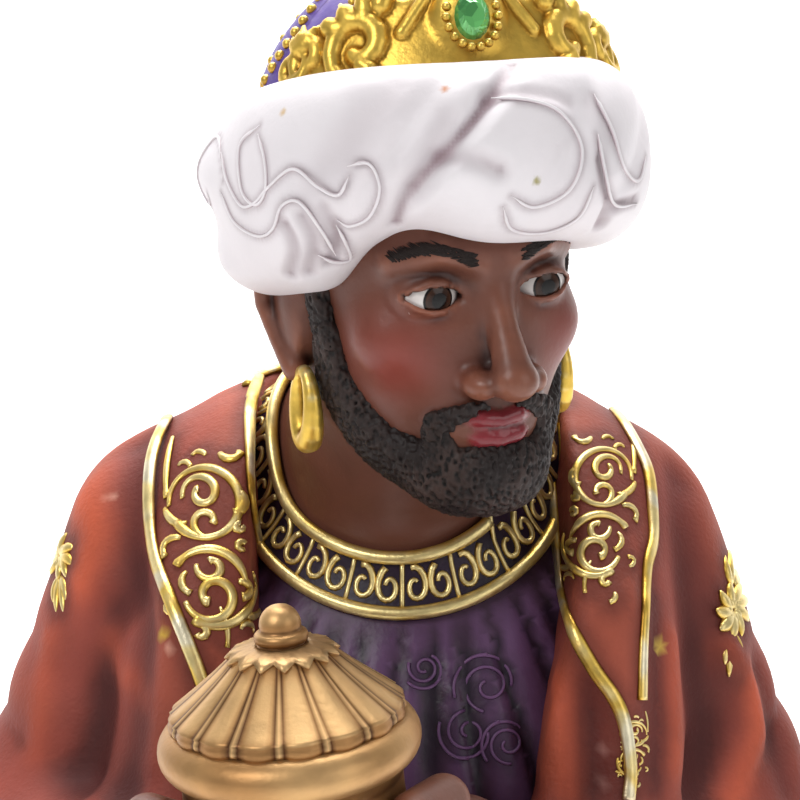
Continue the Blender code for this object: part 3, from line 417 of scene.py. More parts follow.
# Long hollows of the cloth: their middles and radii from the shoulder down
MANTLE_VALLEYS = (
    (((-0.068, -0.026, 0.512), (-0.068, -0.046, 0.480), (-0.066, -0.062, 0.445)), (0.003, 0.006, 0.004)),
    (((-0.092, -0.006, 0.496), (-0.104, -0.022, 0.462), (-0.106, -0.034, 0.430)), (0.003, 0.005, 0.003)),
    (((0.062, -0.030, 0.500), (0.061, -0.052, 0.462), (0.060, -0.062, 0.430)), (0.003, 0.007, 0.005)),
    (((0.086, -0.008, 0.492), (0.098, -0.024, 0.456), (0.100, -0.034, 0.428)), (0.003, 0.005, 0.003)),
    (((0.040, -0.050, 0.476), (0.041, -0.062, 0.452), (0.040, -0.070, 0.425)), (0.003, 0.006, 0.006)),
)


def mantle_opening(p):
    x, y, z = p.T
    left, right = eased(z, OPENING_HEIGHTS, OPENING_LEFT), eased(z, OPENING_HEIGHTS, OPENING_RIGHT)
    return np.maximum(np.maximum(left - x, x - right), y - 0.010)


def mantle_form(p):
    lower = drape(p, MANTLE_WIDTHS, MANTLE_DEPTHS, 15, 0.0085, 2.0)
    lower = overlap(lower, p[:, 2] - MANTLE_TOP, 0.03)
    lower = overlap(lower, MANTLE_HEM - p[:, 2], 0.004)
    yoke = chain(p, [(-0.050, 0.016, 0.4975), (-0.028, 0.020, 0.504),
                     (0.028, 0.020, 0.504), (0.047, 0.016, 0.4980)],
                 (0.026, 0.025, 0.025, 0.026))
    chest = ellipsoid(p, (0.002, 0.008, 0.455), (0.074, 0.052, 0.070))
    form = join(lower, yoke, 0.03)
    form = join(form, chest, 0.02)
    for side in (-1, 1):
        lapel = [(0.000, 0.046, 0.532), (0.024, 0.042, 0.529), (0.037, 0.026, 0.521), (0.038, -0.004, 0.512),
                 (0.046, -0.028, 0.490), (0.050, -0.038, 0.45)]
        form = join(form, chain(p, mirrored(lapel, side), (0.008, 0.009, 0.010, 0.010, 0.012, 0.014)), 0.018)
    form = cut(form, mantle_opening(p), 0.003)
    form = cut(form, cone(p, (0.0, 0.022, 0.515), (0.0, 0.010, 0.575), 0.031, 0.040), 0.004)
    for i in (0, 1):
        form = join(form, sleeve_form(p, i), 0.010)
    for route, radii in MANTLE_VALLEYS:
        form = cut(form, chain(p, route, radii), 0.010)
    return form


def neck_form(p):
    nape = HEAD_AXES @ np.array((0, 0.05, -0.12)) * HEAD + np.array(HEAD_CENTRE)
    neck = cone(p, NECK_BASE, nape, 0.0285, 0.0265)
    slope = chain(p, [(-0.036, 0.020, 0.515), (0, 0.024, 0.530), (0.036, 0.020, 0.515)],
                  (0.014, 0.020, 0.014))
    return join(neck, slope, 0.02)


def tunic_form(p):
    lower = drape(p, TUNIC_WIDTHS, TUNIC_DEPTHS, 22, 0.0055, 1.2)
    lower = overlap(lower, p[:, 2] - TUNIC_TOP, 0.03)
    lower = overlap(lower, HEM_HEIGHT - p[:, 2], 0.004)
    chest = ellipsoid(p, (0.002, 0.012, 0.455), (0.064, 0.048, 0.062))
    return join(join(lower, chest, 0.02), neck_form(p), 0.014)


def to_collar(p):
    return (p - COLLAR_CENTRE) @ COLLAR_AXES


def collar_form(p):
    """The band round the neck: the cloth raised between two rings."""
    c = to_collar(p)
    out = np.hypot(c[:, 0], 0.86 * c[:, 1])
    band = np.maximum(COLLAR_INNER - out, out - COLLAR_OUTER)
    raised = overlap(tunic_form(p) - COLLAR_RAISE, band, 0.001)
    return raised


# The hands, which close on the jar from both sides

KNOB_LOW = JAR_LID_HEIGHT - 2.0 * JAR_KNOB_RADIUS
LID_LOW, LID_HIGH = 0.5 * JAR_RIM_HEIGHT + JAR_LID_EDGE, KNOB_LOW + 0.0004
RING_MIDDLE = LID_HIGH + 0.0013


def lid_radius(share):
    """The lid's bell: wide at its edge, straighter above, rounded in under the knob."""
    bell = 0.36 + 0.64 * (1.0 - share) ** 1.15
    return JAR_LID_RADIUS * bell * (1.0 - 0.42 * ramp(share, 0.88, 1.0))


def lid_height(share):
    return LID_LOW + (LID_HIGH - LID_LOW) * share


FINGER_RADIUS = 0.0041
FINGER_STEP = 0.0088
GRIP_RADIUS = JAR_BELLY_RADIUS + 0.0028
GRIP_LOW = -0.0440
PALM_RADIUS = 0.0125


def grip_point(turn, height, radius=GRIP_RADIUS):
    """A point round the jar's belly: turn 0 is at the front, positive to +X, in degrees."""
    a = math.radians(turn)
    local = np.array((radius * math.sin(a), -radius * math.cos(a), height))
    return JAR_AXES @ local + np.array(JAR_SEAT)


def hand_form(p, i):
    side = (-1, 1)[i]
    palm_centre = grip_point(side * 112, GRIP_LOW + 0.010, GRIP_RADIUS + 0.006)
    knuckles = grip_point(side * 84, GRIP_LOW + 0.012, GRIP_RADIUS + 0.003)
    palm = cone(p, palm_centre, knuckles, PALM_RADIUS, 0.0100)
    palm = join(palm, cone(p, WRISTS[i], palm_centre, PALM_RADIUS, 0.0120), 0.010)
    for n in range(4):
        height = GRIP_LOW + FINGER_STEP * (n - 0.4)
        tip = 26 + 5 * abs(n - 2)
        knuckles = [grip_point(side * turn, height - 0.0012 * (turn < 50), GRIP_RADIUS + 0.0012 * (turn > 60))
                    for turn in (92, 68, 46, tip)]
        finger = chain(p, knuckles, (0.0052, 0.0046, FINGER_RADIUS, 0.0034))
        palm = join(palm, finger, 0.0022)
    thumb = [grip_point(side * 118, GRIP_LOW + 0.020),
             grip_point(side * 88, GRIP_LOW + 0.030, GRIP_RADIUS + 0.002),
             grip_point(side * 62, GRIP_LOW + 0.0325, GRIP_RADIUS - 0.001)]
    return join(palm, chain(p, thumb, (0.0065, 0.0052, 0.0042)), 0.004)


def cuff_form(p, i):
    reach = np.array(WRISTS[i]) - np.array(ELBOWS[i])
    reach = reach / np.linalg.norm(reach)
    end = np.array(WRISTS[i]) + reach * 0.010
    return cone(p, np.array(WRISTS[i]) - reach * 0.02, end, 0.0165, 0.0160)


def shoe_form(p):
    form = None
    for side in (-1, 1):
        heel = (side * 0.026, -0.070, BASE_HEIGHT + 0.011)
        toe = (side * 0.034, -0.102, BASE_HEIGHT + 0.007)
        shoe = cone(p, heel, toe, 0.0135, 0.0095)
        form = shoe if form is None else np.minimum(form, shoe)
    return form


def foot_form(p):
    """What carries the robe on the base, under the hem."""
    x, y, z = p.T
    column = (np.hypot(x / 0.082, (y - 0.006) / 0.080) - 1.0) * 0.080
    return np.maximum(column, z - 0.060)


# Reading a form as a mesh

def read_band(form, low, high, cell, block=4):
    """Values of the form on a grid, worked out only in the blocks that its surface crosses."""
    low, high = np.array(low), np.array(high)
    blocks = np.ceil((high - low) / (cell * block)).astype(int)
    axes = [low[i] + cell * block * (np.arange(blocks[i]) + 0.5) for i in range(3)]
    centres = np.stack(np.meshgrid(*axes, indexing="ij"), axis=-1).reshape(-1, 3)
    coarse = form(centres).reshape(blocks)
    values = np.repeat(np.repeat(np.repeat(coarse, block, 0), block, 1), block, 2)
    near = np.argwhere(np.abs(coarse) < 1.45 * cell * block)
    steps = np.stack(np.meshgrid(*[np.arange(block)] * 3, indexing="ij"), axis=-1).reshape(-1, 3)
    spots = (near[:, None, :] * block + steps[None]).reshape(-1, 3)
    values[tuple(spots.T)] = form(low + cell * (spots + 0.5))
    return values, low + 0.5 * cell


def fill_corners(values, cell):
    """Fill the places where two parts of the surface would meet only at an edge or a corner."""
    filled = -0.25 * cell
    for _ in range(8):
        inside = values < 0.0
        changed = 0
        for axes in ((0, 1), (1, 2), (0, 2)):
            u, v = (np.eye(3, dtype=int)[axis] for axis in axes)
            size = np.array(values.shape) - u - v
            a, b, c, d = (inside[tuple(slice(o, o + n) for o, n in zip(offset, size))]
                          for offset in (0 * u, u, u + v, v))
            spots = np.argwhere((a == c) & (b == d) & (a != b))
            for offset in (0 * u, u, u + v, v):
                place = tuple((spots + offset).T)
                values[place] = np.minimum(values[place], filled)
            changed += len(spots)
        size = np.array(values.shape) - 1
        corners = [inside[i:i + size[0], j:j + size[1], k:k + size[2]]
                   for i in (0, 1) for j in (0, 1) for k in (0, 1)]
        count = sum(corner.astype(np.int8) for corner in corners)
        for first in range(4):
            same = corners[first] == corners[7 - first]
            lone = same & (((count == 2) & corners[first]) | ((count == 6) & ~corners[first]))
            spots = np.argwhere(lone)
            for i, j, k in ((i, j, k) for i in (0, 1) for j in (0, 1) for k in (0, 1)):
                place = tuple((spots + np.array((i, j, k))).T)
                values[place] = np.minimum(values[place], filled)
            changed += len(spots)
        if not changed:
            break
    return values


def surface_net(values, low, cell):
    """Corners and four-sided faces of the surface where the values change sign."""
    inside = values < 0.0
    shape = np.array(values.shape) - 1
    count = np.zeros(shape, dtype=np.int8)
    offsets = [np.array((i, j, k)) for i in (0, 1) for j in (0, 1) for k in (0, 1)]
    for i, j, k in offsets:
        count += inside[i:i + shape[0], j:j + shape[1], k:k + shape[2]]
    cells = np.argwhere((count > 0) & (count < 8))
    total, hits = np.zeros((len(cells), 3)), np.zeros(len(cells))
    for axis in range(3):
        step = np.eye(3, dtype=int)[axis]
        for offset in offsets:
            if offset[axis]:
                continue
            a = values[tuple((cells + offset).T)]
            b = values[tuple((cells + offset + step).T)]
            crosses = (a < 0.0) != (b < 0.0)
            share = np.where(crosses, a / np.where(crosses, a - b, 1.0), 0.0)
            total += crosses[:, None] * (offset + share[:, None] * step)
            hits += crosses
    points = low + cell * (cells + total / hits[:, None])
    number = np.full(shape, -1)
    number[tuple(cells.T)] = np.arange(len(cells))
    faces = []
    for axis in range(3):
        u, v = np.eye(3, dtype=int)[(axis + 1) % 3], np.eye(3, dtype=int)[(axis + 2) % 3]
        head = np.take(inside, range(inside.shape[axis] - 1), axis=axis)
        tail = np.take(inside, range(1, inside.shape[axis]), axis=axis)
        edges = np.argwhere(head != tail)
        edges = edges[(edges @ u > 0) & (edges @ v > 0) & (edges @ u < shape @ u) & (edges @ v < shape @ v)]
        ring = [number[tuple((edges - back).T)] for back in (0 * u, u, u + v, v)]
        quads = np.stack(ring, axis=1)
        flip = ~head[tuple(edges.T)]
        quads[flip] = quads[flip][:, ::-1]
        faces.append(quads)
    return points, np.concatenate(faces)


# The photo's camera, which also places what the picture shows on the cloth

EYE = np.array((0.0, -0.408, 0.609))
EYE_PITCH = math.radians(10.0)
PICTURE = 800.0
FOCAL_PIXELS = 1733.0
EYE_OUT = np.array((0.0, math.cos(EYE_PITCH), -math.sin(EYE_PITCH)))
EYE_UP = np.array((0.0, math.sin(EYE_PITCH), math.cos(EYE_PITCH)))


def add_camera():
    data = bpy.data.cameras.new("camera")
    data.sensor_width = 36.0
    data.lens = 36.0 * FOCAL_PIXELS / PICTURE
    data.clip_start = 0.02
    camera = bpy.data.objects.new("camera", data)
    camera.location = EYE
    camera.rotation_euler = (math.radians(90.0) - EYE_PITCH, 0.0, 0.0)
    bpy.context.scene.collection.objects.link(camera)
    bpy.context.scene.camera = camera


def march(form, starts, ways, reach=0.6):
    """Where rays first meet a form, with its outward normals there and which rays met it."""
    travelled = np.zeros(len(starts))
    live = np.arange(len(starts))
    for _ in range(90):
        gap = form(starts[live] + travelled[live, None] * ways[live])
        travelled[live] += 0.7 * np.clip(gap, -0.004, 0.03)
        live = live[(np.abs(gap) > 0.00002) & (travelled[live] < reach)]
        if not len(live):
            break
    spots = starts + travelled[:, None] * ways
    return spots, slopes(form, spots), travelled < reach


def laid(form, rays, reach=0.6):
    """The stretches of some routes that lie on a form, all found together: for each route, its own list."""
    ends = np.cumsum([len(starts) for starts, _ in rays])
    starts, ways = (np.vstack([group[k] for group in rays]) for k in (0, 1))
    spots, normals, met = march(form, starts, ways, reach)
    routes = []
    for first, last in zip(np.concatenate(((0,), ends[:-1])), ends):
        stretches, open_at = [], first
        for i in range(first, last + 1):
            broken = i == last or not met[i]
            apart = not broken and i > open_at and np.linalg.norm(spots[i] - spots[i - 1]) > LEAP
            if broken or apart:
                if i - open_at > 2:
                    part = slice(open_at, i)
                    stretches.append((spots[part], normals[part], np.arange(open_at, i) - first))
                open_at = i + 1 if broken else i
        routes.append(stretches)
    return routes


LEAP = 0.009                   # a longer step between neighbours has jumped off an edge


def slopes(form, spots, step=0.0006):
    gradient = np.stack([form(spots + step * axis) - form(spots - step * axis) for axis in np.eye(3)], axis=1)
    return gradient / np.maximum(length(gradient), 1e-9)[:, None]


def sight(pixels):
    """Rays from the camera through some places in the picture."""
    pixels = np.asarray(pixels, dtype=float)
    across = (pixels[:, 0] - 0.5 * PICTURE) / FOCAL_PIXELS
    above = (0.5 * PICTURE - pixels[:, 1]) / FOCAL_PIXELS
    ways = EYE_OUT + across[:, None] * np.array((1.0, 0.0, 0.0)) + above[:, None] * EYE_UP
    ways = ways / length(ways)[:, None]
    return np.tile(EYE, (len(ways), 1)) + 0.2 * ways, ways


def strokes_on(form, rays, radii, flat=1.0, sides=8, lift=0.0, reach=0.6):
    """A cord along every route, each with its own radius or radii."""
    parts = []
    for stretches, width in zip(laid(form, rays, reach), radii):
        for spots, normals, kept in stretches:
            widths = width if np.isscalar(width) else np.asarray(width)[kept]
            parts.append(tube(spots, normals, widths, flat, sides, lift))
    return parts


def smooth_route(points, spacing, closed=False):
    """Points at even steps on a smooth curve through the given ones."""
    points = np.asarray(points, dtype=float)
    if closed:
        padded = np.vstack((points[-1:], points, points[:2]))
    else:
        padded = np.vstack((2 * points[0] - points[1], points, 2 * points[-1] - points[-2]))
    fine = []
    for i in range(1, len(padded) - 2):
        a, b, c, d = padded[i - 1:i + 3]
        share = np.linspace(0.0, 1.0, 24, endpoint=False)[:, None]
        fine.append(0.5 * (2 * b + (c - a) * share + (2 * a - 5 * b + 4 * c - d) * share**2
                           + (3 * b - a - 3 * c + d) * share**3))
    fine = np.vstack(fine + [padded[-2:-1]])
    run = np.concatenate(([0.0], np.cumsum(np.linalg.norm(np.diff(fine, axis=0), axis=1))))
    count = max(int(run[-1] / spacing) + 1, 4)
    at = np.linspace(0.0, run[-1], count)
    return np.stack([np.interp(at, run, fine[:, axis]) for axis in range(fine.shape[1])], axis=1)


# Meshes and their painted colours

def srgb(red, green, blue):
    """A colour as it is seen, 0 to 255, as the linear one that a shader takes."""
    seen = np.array((red, green, blue)) / 255.0
    return np.where(seen <= 0.04045, seen / 12.92, ((seen + 0.055) / 1.055) ** 2.4)


def mix(a, b, share):
    share = np.asarray(share)[..., None]
    return a * (1.0 - share) + b * share


class Clay:
    """A mesh in the making: its corners, faces and painted colours."""

    def __init__(self, points, faces):
        self.points = np.asarray(points, dtype=float)
        self.faces = faces
        self.mesh = bpy.data.meshes.new("clay")
        self.mesh.from_pydata(self.points.tolist(), [], [list(face) for face in faces])
        self.mesh.update()
        self.edges = np.zeros(2 * len(self.mesh.edges), dtype=np.int32)
        self.mesh.edges.foreach_get("vertices", self.edges)
        self.edges = self.edges.reshape(-1, 2)

    def normals(self):
        found = np.zeros(3 * len(self.points))
        self.mesh.vertices.foreach_get("normal", found)
        return found.reshape(-1, 3)

    def averaged(self, values, rounds):
        """Values evened out between neighbours."""
        a, b = self.edges.T
        size = len(self.points)
        count = np.bincount(a, minlength=size) + np.bincount(b, minlength=size)
        values = values.copy()
        for _ in range(rounds):
            total = [np.bincount(a, column[b], size) + np.bincount(b, column[a], size) for column in values.T]
            values = 0.5 * values + 0.5 * np.stack(total, axis=1) / np.maximum(count, 1)[:, None]
        return values

    def ridges(self, rounds):
        """How far each point stands out (positive) or in, against its evened surroundings."""
        away = self.points - self.averaged(self.points, rounds)
        return np.einsum("ij,ij->i", away, self.normals())

    def finish(self, name, colours, paint, gloss=None):
        self.mesh.name = name
        values = np.ones((len(self.points), 4))
        values[:, :3] = np.clip(colours, 0.0, 1.0)
        layer = self.mesh.attributes.new("paint", "FLOAT_COLOR", "POINT")
        layer.data.foreach_set("color", values.ravel())
        if gloss is not None:
            self.mesh.attributes.new("gloss", "FLOAT", "POINT").data.foreach_set("value", gloss)
        self.mesh.shade_smooth()
        piece = bpy.data.objects.new(name, self.mesh)
        bpy.context.scene.collection.objects.link(piece)
        self.mesh.materials.append(paint)
        return piece


def sculpt(form, low, high, cell):
    values, origin = read_band(form, low, high, cell)
    points, faces = surface_net(fill_corners(values, cell), origin, cell)
    for _ in range(2):
        gap = form(points)
        slope = np.stack([(form(points + 0.3 * cell * axis) - gap) / (0.3 * cell)
                          for axis in np.eye(3)], axis=1)
        steep = np.maximum(np.einsum("ij,ij->i", slope, slope), 0.3)
        move = -(gap / steep)[:, None] * slope
        size = np.maximum(length(move), 1e-12)
        points = points + move * np.minimum(1.0, 0.35 * cell / size)[:, None]
    return Clay(points, faces.tolist())


def tube(points, normals, radii, flat=1.0, sides=8, lift=0.0):
    """A cord along a route on a surface, closed at both ends. flat squashes it towards the surface."""
    points = np.asarray(points, dtype=float)
    radii = np.broadcast_to(np.asarray(radii, dtype=float), (len(points),))
    along = np.gradient(points, axis=0)
    along = along / np.maximum(length(along), 1e-9)[:, None]
    across = np.cross(along, normals)
    across = across / np.maximum(length(across), 1e-9)[:, None]
    up = np.cross(across, along)
    turn = 2.0 * math.pi * np.arange(sides) / sides
    ring = (np.cos(turn)[None, :, None] * across[:, None] + flat * np.sin(turn)[None, :, None] * up[:, None])
    spots = points[:, None] + radii[:, None, None] * ring + lift * up[:, None]
    corners = spots.reshape(-1, 3)
    # shade runs from 1 on the cord's top to -1 underneath, for painted highlight and painted shade
    shade = np.tile(np.sin(turn), len(points))
    faces = []
    for i in range(len(points) - 1):
        for k in range(sides):
            a, b = i * sides + k, i * sides + (k + 1) % sides
            faces.append((a, b, b + sides, a + sides))
    faces.append(tuple(range(sides - 1, -1, -1)))
    faces.append(tuple(range(len(corners) - sides, len(corners))))
    return corners, faces, shade


def ball(centre, radii, axes=None, rings=6, sides=10):
    axes = np.eye(3) if axes is None else axes
    corners, faces = [], []
    for i in range(rings + 1):
        tip = math.pi * i / rings
        for k in range(sides):
            turn = 2.0 * math.pi * k / sides
            corners.append((math.sin(tip) * math.cos(turn), math.sin(tip) * math.sin(turn), math.cos(tip)))
    corners = np.array(corners)
    corners[:sides] = (0, 0, 1)
    corners[-sides:] = (0, 0, -1)
    for i in range(rings):
        for k in range(sides):
            a, b = i * sides + k, i * sides + (k + 1) % sides
            faces.append((a, a + sides, b + sides, b))
    # shade runs from 1 on the ball's top to -1 underneath, for painted highlight and painted shade
    shade = corners[:, 2].copy()
    return np.asarray(centre) + (corners * np.asarray(radii)) @ np.asarray(axes), faces, shade


def gathered(parts):
    """Several closed shapes as one mesh, with the shade of each corner."""
    corners, faces, shades, start = [], [], [], 0
    for points, loops, shade in parts:
        corners.append(points)
        faces.extend([tuple(start + i for i in loop) for loop in loops])
        shades.append(shade)
        start += len(points)
    return welded(np.vstack(corners), faces, np.concatenate(shades))


def welded(points, faces, shades):
    """Join corners that share a place, such as a ball's poles, and drop faces that this closes up."""
    keys = np.round(points, 7)
    _, first, back = np.unique(keys, axis=0, return_index=True, return_inverse=True)
    back = back.ravel()
    kept = []
    for face in faces:
        loop = []
        for corner in (int(back[i]) for i in face):
            if corner not in loop:
                loop.append(corner)
        if len(loop) > 2:
            kept.append(tuple(loop))
    return points[first], kept, shades[first]


# Finishes

def paint_material(name, roughness, metallic=0.0, grain=900.0, grain_depth=0.0002, mottle=0.12,
                   mottle_scale=70.0, gloss=False, coat=0.0, specular=0.5):
    """Hand paint on cast resin: the painted colours, a little uneven, over a fine cast grain."""
    made = bpy.data.materials.new(name)
    made.use_nodes = True
    nodes, links = made.node_tree.nodes, made.node_tree.links
    shader = nodes["Principled BSDF"]
    shader.inputs["Metallic"].default_value = metallic
    shader.inputs["Coat Weight"].default_value = coat
    shader.inputs["Coat Roughness"].default_value = 0.25
    shader.inputs["Specular IOR Level"].default_value = specular
    place = nodes.new("ShaderNodeTexCoord")
    colour = nodes.new("ShaderNodeAttribute")
    colour.attribute_name = "paint"
    cloud = nodes.new("ShaderNodeTexNoise")
    cloud.inputs["Scale"].default_value = mottle_scale
    cloud.inputs["Detail"].default_value = 5.0
    links.new(place.outputs["Object"], cloud.inputs["Vector"])
    level = nodes.new("ShaderNodeMapRange")
    level.inputs["From Min"].default_value = 0.3
    level.inputs["From Max"].default_value = 0.7
    level.inputs["To Min"].default_value = 1.0 - mottle
    level.inputs["To Max"].default_value = 1.0 + mottle
    links.new(cloud.outputs["Fac"], level.inputs["Value"])
    tint = nodes.new("ShaderNodeVectorMath")
    tint.operation = "SCALE"
    links.new(colour.outputs["Color"], tint.inputs[0])
    links.new(level.outputs["Result"], tint.inputs["Scale"])
    links.new(tint.outputs["Vector"], shader.inputs["Base Color"])
    fine = nodes.new("ShaderNodeTexNoise")
    fine.inputs["Scale"].default_value = grain
    fine.inputs["Detail"].default_value = 3.0
    links.new(place.outputs["Object"], fine.inputs["Vector"])
    bump = nodes.new("ShaderNodeBump")
    bump.inputs["Strength"].default_value = 0.6
    bump.inputs["Distance"].default_value = grain_depth
    links.new(fine.outputs["Fac"], bump.inputs["Height"])
    links.new(bump.outputs["Normal"], shader.inputs["Normal"])
    rough = nodes.new("ShaderNodeMapRange")
    rough.inputs["To Min"].default_value = roughness - 0.08
    rough.inputs["To Max"].default_value = roughness + 0.08
    links.new(cloud.outputs["Fac"], rough.inputs["Value"])
    if gloss:
        shine = nodes.new("ShaderNodeAttribute")
        shine.attribute_name = "gloss"
        less = nodes.new("ShaderNodeMath")
        less.operation = "SUBTRACT"
        links.new(rough.outputs["Result"], less.inputs[0])
        links.new(shine.outputs["Fac"], less.inputs[1])
        links.new(less.outputs["Value"], shader.inputs["Roughness"])
    else:
        links.new(rough.outputs["Result"], shader.inputs["Roughness"])
    return made


def stone_material(name):
    """Green faceted resin stone with a foil-like depth."""
    made = bpy.data.materials.new(name)
    made.use_nodes = True
    nodes, links = made.node_tree.nodes, made.node_tree.links
    shader = nodes["Principled BSDF"]
    shader.inputs["Roughness"].default_value = 0.06
    shader.inputs["Metallic"].default_value = 0.35
    shader.inputs["Coat Weight"].default_value = 1.0
    shader.inputs["Coat Roughness"].default_value = 0.02
    place = nodes.new("ShaderNodeTexCoord")
    flecks = nodes.new("ShaderNodeTexVoronoi")
    flecks.inputs["Scale"].default_value = 420.0
    links.new(place.outputs["Object"], flecks.inputs["Vector"])
    ramp_node = nodes.new("ShaderNodeValToRGB")
    ramp_node.color_ramp.elements[0].color = (*srgb(12, 96, 40), 1.0)
    ramp_node.color_ramp.elements[1].color = (*srgb(120, 215, 120), 1.0)
    links.new(flecks.outputs["Color"], ramp_node.inputs["Fac"])
    links.new(ramp_node.outputs["Color"], shader.inputs["Base Color"])
    return made


# Gold paints: the palest for worn paint and painted highlight, the browns for painted shade
GOLD_WORN_AND_HIGHLIGHT = srgb(238, 226, 176)
GOLD = srgb(226, 188, 84)
GOLD_DEEP = srgb(150, 104, 22)
GOLD_DARK = srgb(70, 42, 10)


def gold_colours(shade):
    """Gold over brown: pale on top, a painted highlight that also shows worn paint where wear is added, and
    brown low down, a painted shade.
    """
    colours = mix(GOLD_DARK, GOLD_DEEP, ramp(shade, -0.6, -0.05))
    colours = mix(colours, GOLD, ramp(shade, -0.10, 0.45))
    return mix(colours, GOLD_WORN_AND_HIGHLIGHT, 0.6 * ramp(shade, 0.60, 1.0))


def speckle(points, scale, seed):
    """An even random field from crossed waves, 0 to 1."""
    draw = np.random.default_rng(seed)
    total = np.zeros(len(points))
    for _ in range(7):
        way = draw.normal(size=3)
        way = way / np.linalg.norm(way) * scale * draw.uniform(0.6, 1.6)
        total += np.sin(points @ way + draw.uniform(0.0, 6.28))
    return 0.5 + 0.5 * np.clip(total / 3.2, -1.0, 1.0)


def worley(points, size, seed):
    """Distance to the nearest of scattered centres, in cell sizes."""
    scaled = points / size
    home = np.floor(scaled).astype(np.int64)
    nearest = np.full(len(points), 9.0)
    for i in (-1, 0, 1):
        for j in (-1, 0, 1):
            for k in (-1, 0, 1):
                cell = home + np.array((i, j, k))
                mixed = cell[:, 0] * 73856093 ^ cell[:, 1] * 19349663 ^ cell[:, 2] * 83492791 ^ seed
                centre = [(((mixed * prime) >> 7) & 1023) / 1023.0
                          for prime in (2654435761, 40503, 2246822519)]
                away = scaled - cell - np.stack(centre, axis=1)
                nearest = np.minimum(nearest, np.einsum("ij,ij->i", away, away))
    return np.sqrt(nearest)


def keep(piece, slot, *nodes):
    """Every piece rides on the one body, and the solids that it dresses are hidden."""
    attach(piece, "root")
    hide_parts(*nodes)


# Head

# Skin paint, with a lighter tone for painted highlight and a darker one for painted shade
SKIN = srgb(104, 62, 48)
SKIN_HIGHLIGHT = srgb(138, 86, 66)
SKIN_SHADE = srgb(58, 32, 26)
BLUSH = srgb(150, 52, 46)
LIP = srgb(124, 44, 50)


def inside_collar(p):
    """Negative inside the collar's inner cord, where the skin is bare."""
    c = to_collar(p)
    ring = np.hypot(c[:, 0], 0.86 * c[:, 1]) - COLLAR_INNER - 0.0008
    return np.maximum(ring, -0.030 - c[:, 2])


def head_piece_form(p):
    q = to_head(p)
    head = face_form(q)
    for side in (-1, 1):
        head = cut(head, eye_opening(q, side), 0.003)
    head = join(head, ear_form(q), 0.02) * HEAD
    return join(head, overlap(tunic_form(p), inside_collar(p), 0.0015), 0.004)


def eye_opening(q, side):
    """The almond between the lids, from two arcs that meet at the eye's corners."""
    arc = (EYE_HALF_WIDTH**2 + EYE_HALF_HEIGHT**2) / (2.0 * EYE_HALF_HEIGHT)
    across = side * q[:, 0] - EYE_PLACE[0]
    up = q[:, 2] - EYE_PLACE[2] - 0.05 * across
    low = np.hypot(across, up + arc - EYE_HALF_HEIGHT) - arc
    high = np.hypot(across, up - arc + EYE_HALF_HEIGHT) - arc
    return np.maximum(np.maximum(low, high), q[:, 1] - EYE_PLACE[1] + 0.01)


def make_head():
    clay = sculpt(head_piece_form, (-0.050, -0.085, 0.492), (0.050, 0.050, 0.625), 0.00092)
    q = to_head(clay.points)
    relief = clay.ridges(14)
    # Painted shade in the hollows, painted highlight on the raised places
    colours = mix(SKIN, SKIN_SHADE, ramp(-relief, 0.00004, 0.0006))
    colours = mix(colours, SKIN_HIGHLIGHT, 0.8 * ramp(relief, 0.00004, 0.0006))
    for side in (-1, 1):
        cheek = length((q - np.array((side * 0.215, -0.27, -0.15))) / np.array((0.10, 0.14, 0.10)))
        colours = mix(colours, BLUSH, 0.55 * np.exp(-cheek**2))
        # the upper lids darker under the brow: painted shade
        lid = length((q - np.array((side * 0.14, -0.34, 0.045))) / np.array((0.09, 0.10, 0.03)))
        colours = mix(colours, SKIN_SHADE, 0.5 * np.exp(-lid**2))
    lip_gap = lip_distance(q)
    lips = ramp(-lip_gap, -0.004, 0.003)
    colours = mix(colours, LIP, lips)
    line = np.exp(-(((q[:, 2] + 0.3035) / 0.0040) ** 2)) * lips
    colours = mix(colours, srgb(48, 14, 18), 0.85 * line)
    for side in (-1, 1):
        lash = chain(q, lid_route(side, EYE_HALF_HEIGHT - 0.001), (0.004, 0.007, 0.009, 0.009, 0.007, 0.004))
        colours = mix(colours, srgb(18, 12, 11), ramp(-lash, -0.004, 0.001))
    gloss = 0.28 * lips + 0.08 * ramp(relief, 0.0, 0.0006)
    keep(clay.finish("head_skin", colours, SKIN_PAINT, gloss=gloss), "painted_resin", "figure")


def lip_distance(q):
    return np.minimum(chain(q, UPPER_LIP, (0.010, 0.022, 0.021, 0.022, 0.010)),
                      chain(q, LOWER_LIP, (0.010, 0.027, 0.029, 0.027, 0.010)))


GAZE = (0.06, -1.0, -0.06)
# Spread from the gaze in radians, and the paint there
EYE_BANDS = ((0.0, (8, 6, 6)), (0.20, (10, 7, 7)), (0.22, (38, 22, 16)), (0.36, (62, 38, 26)),
             (0.40, (18, 11, 9)), (0.44, (18, 11, 9)), (0.46, (212, 206, 202)), (0.90, (202, 192, 188)),
             (1.60, (150, 110, 100)))


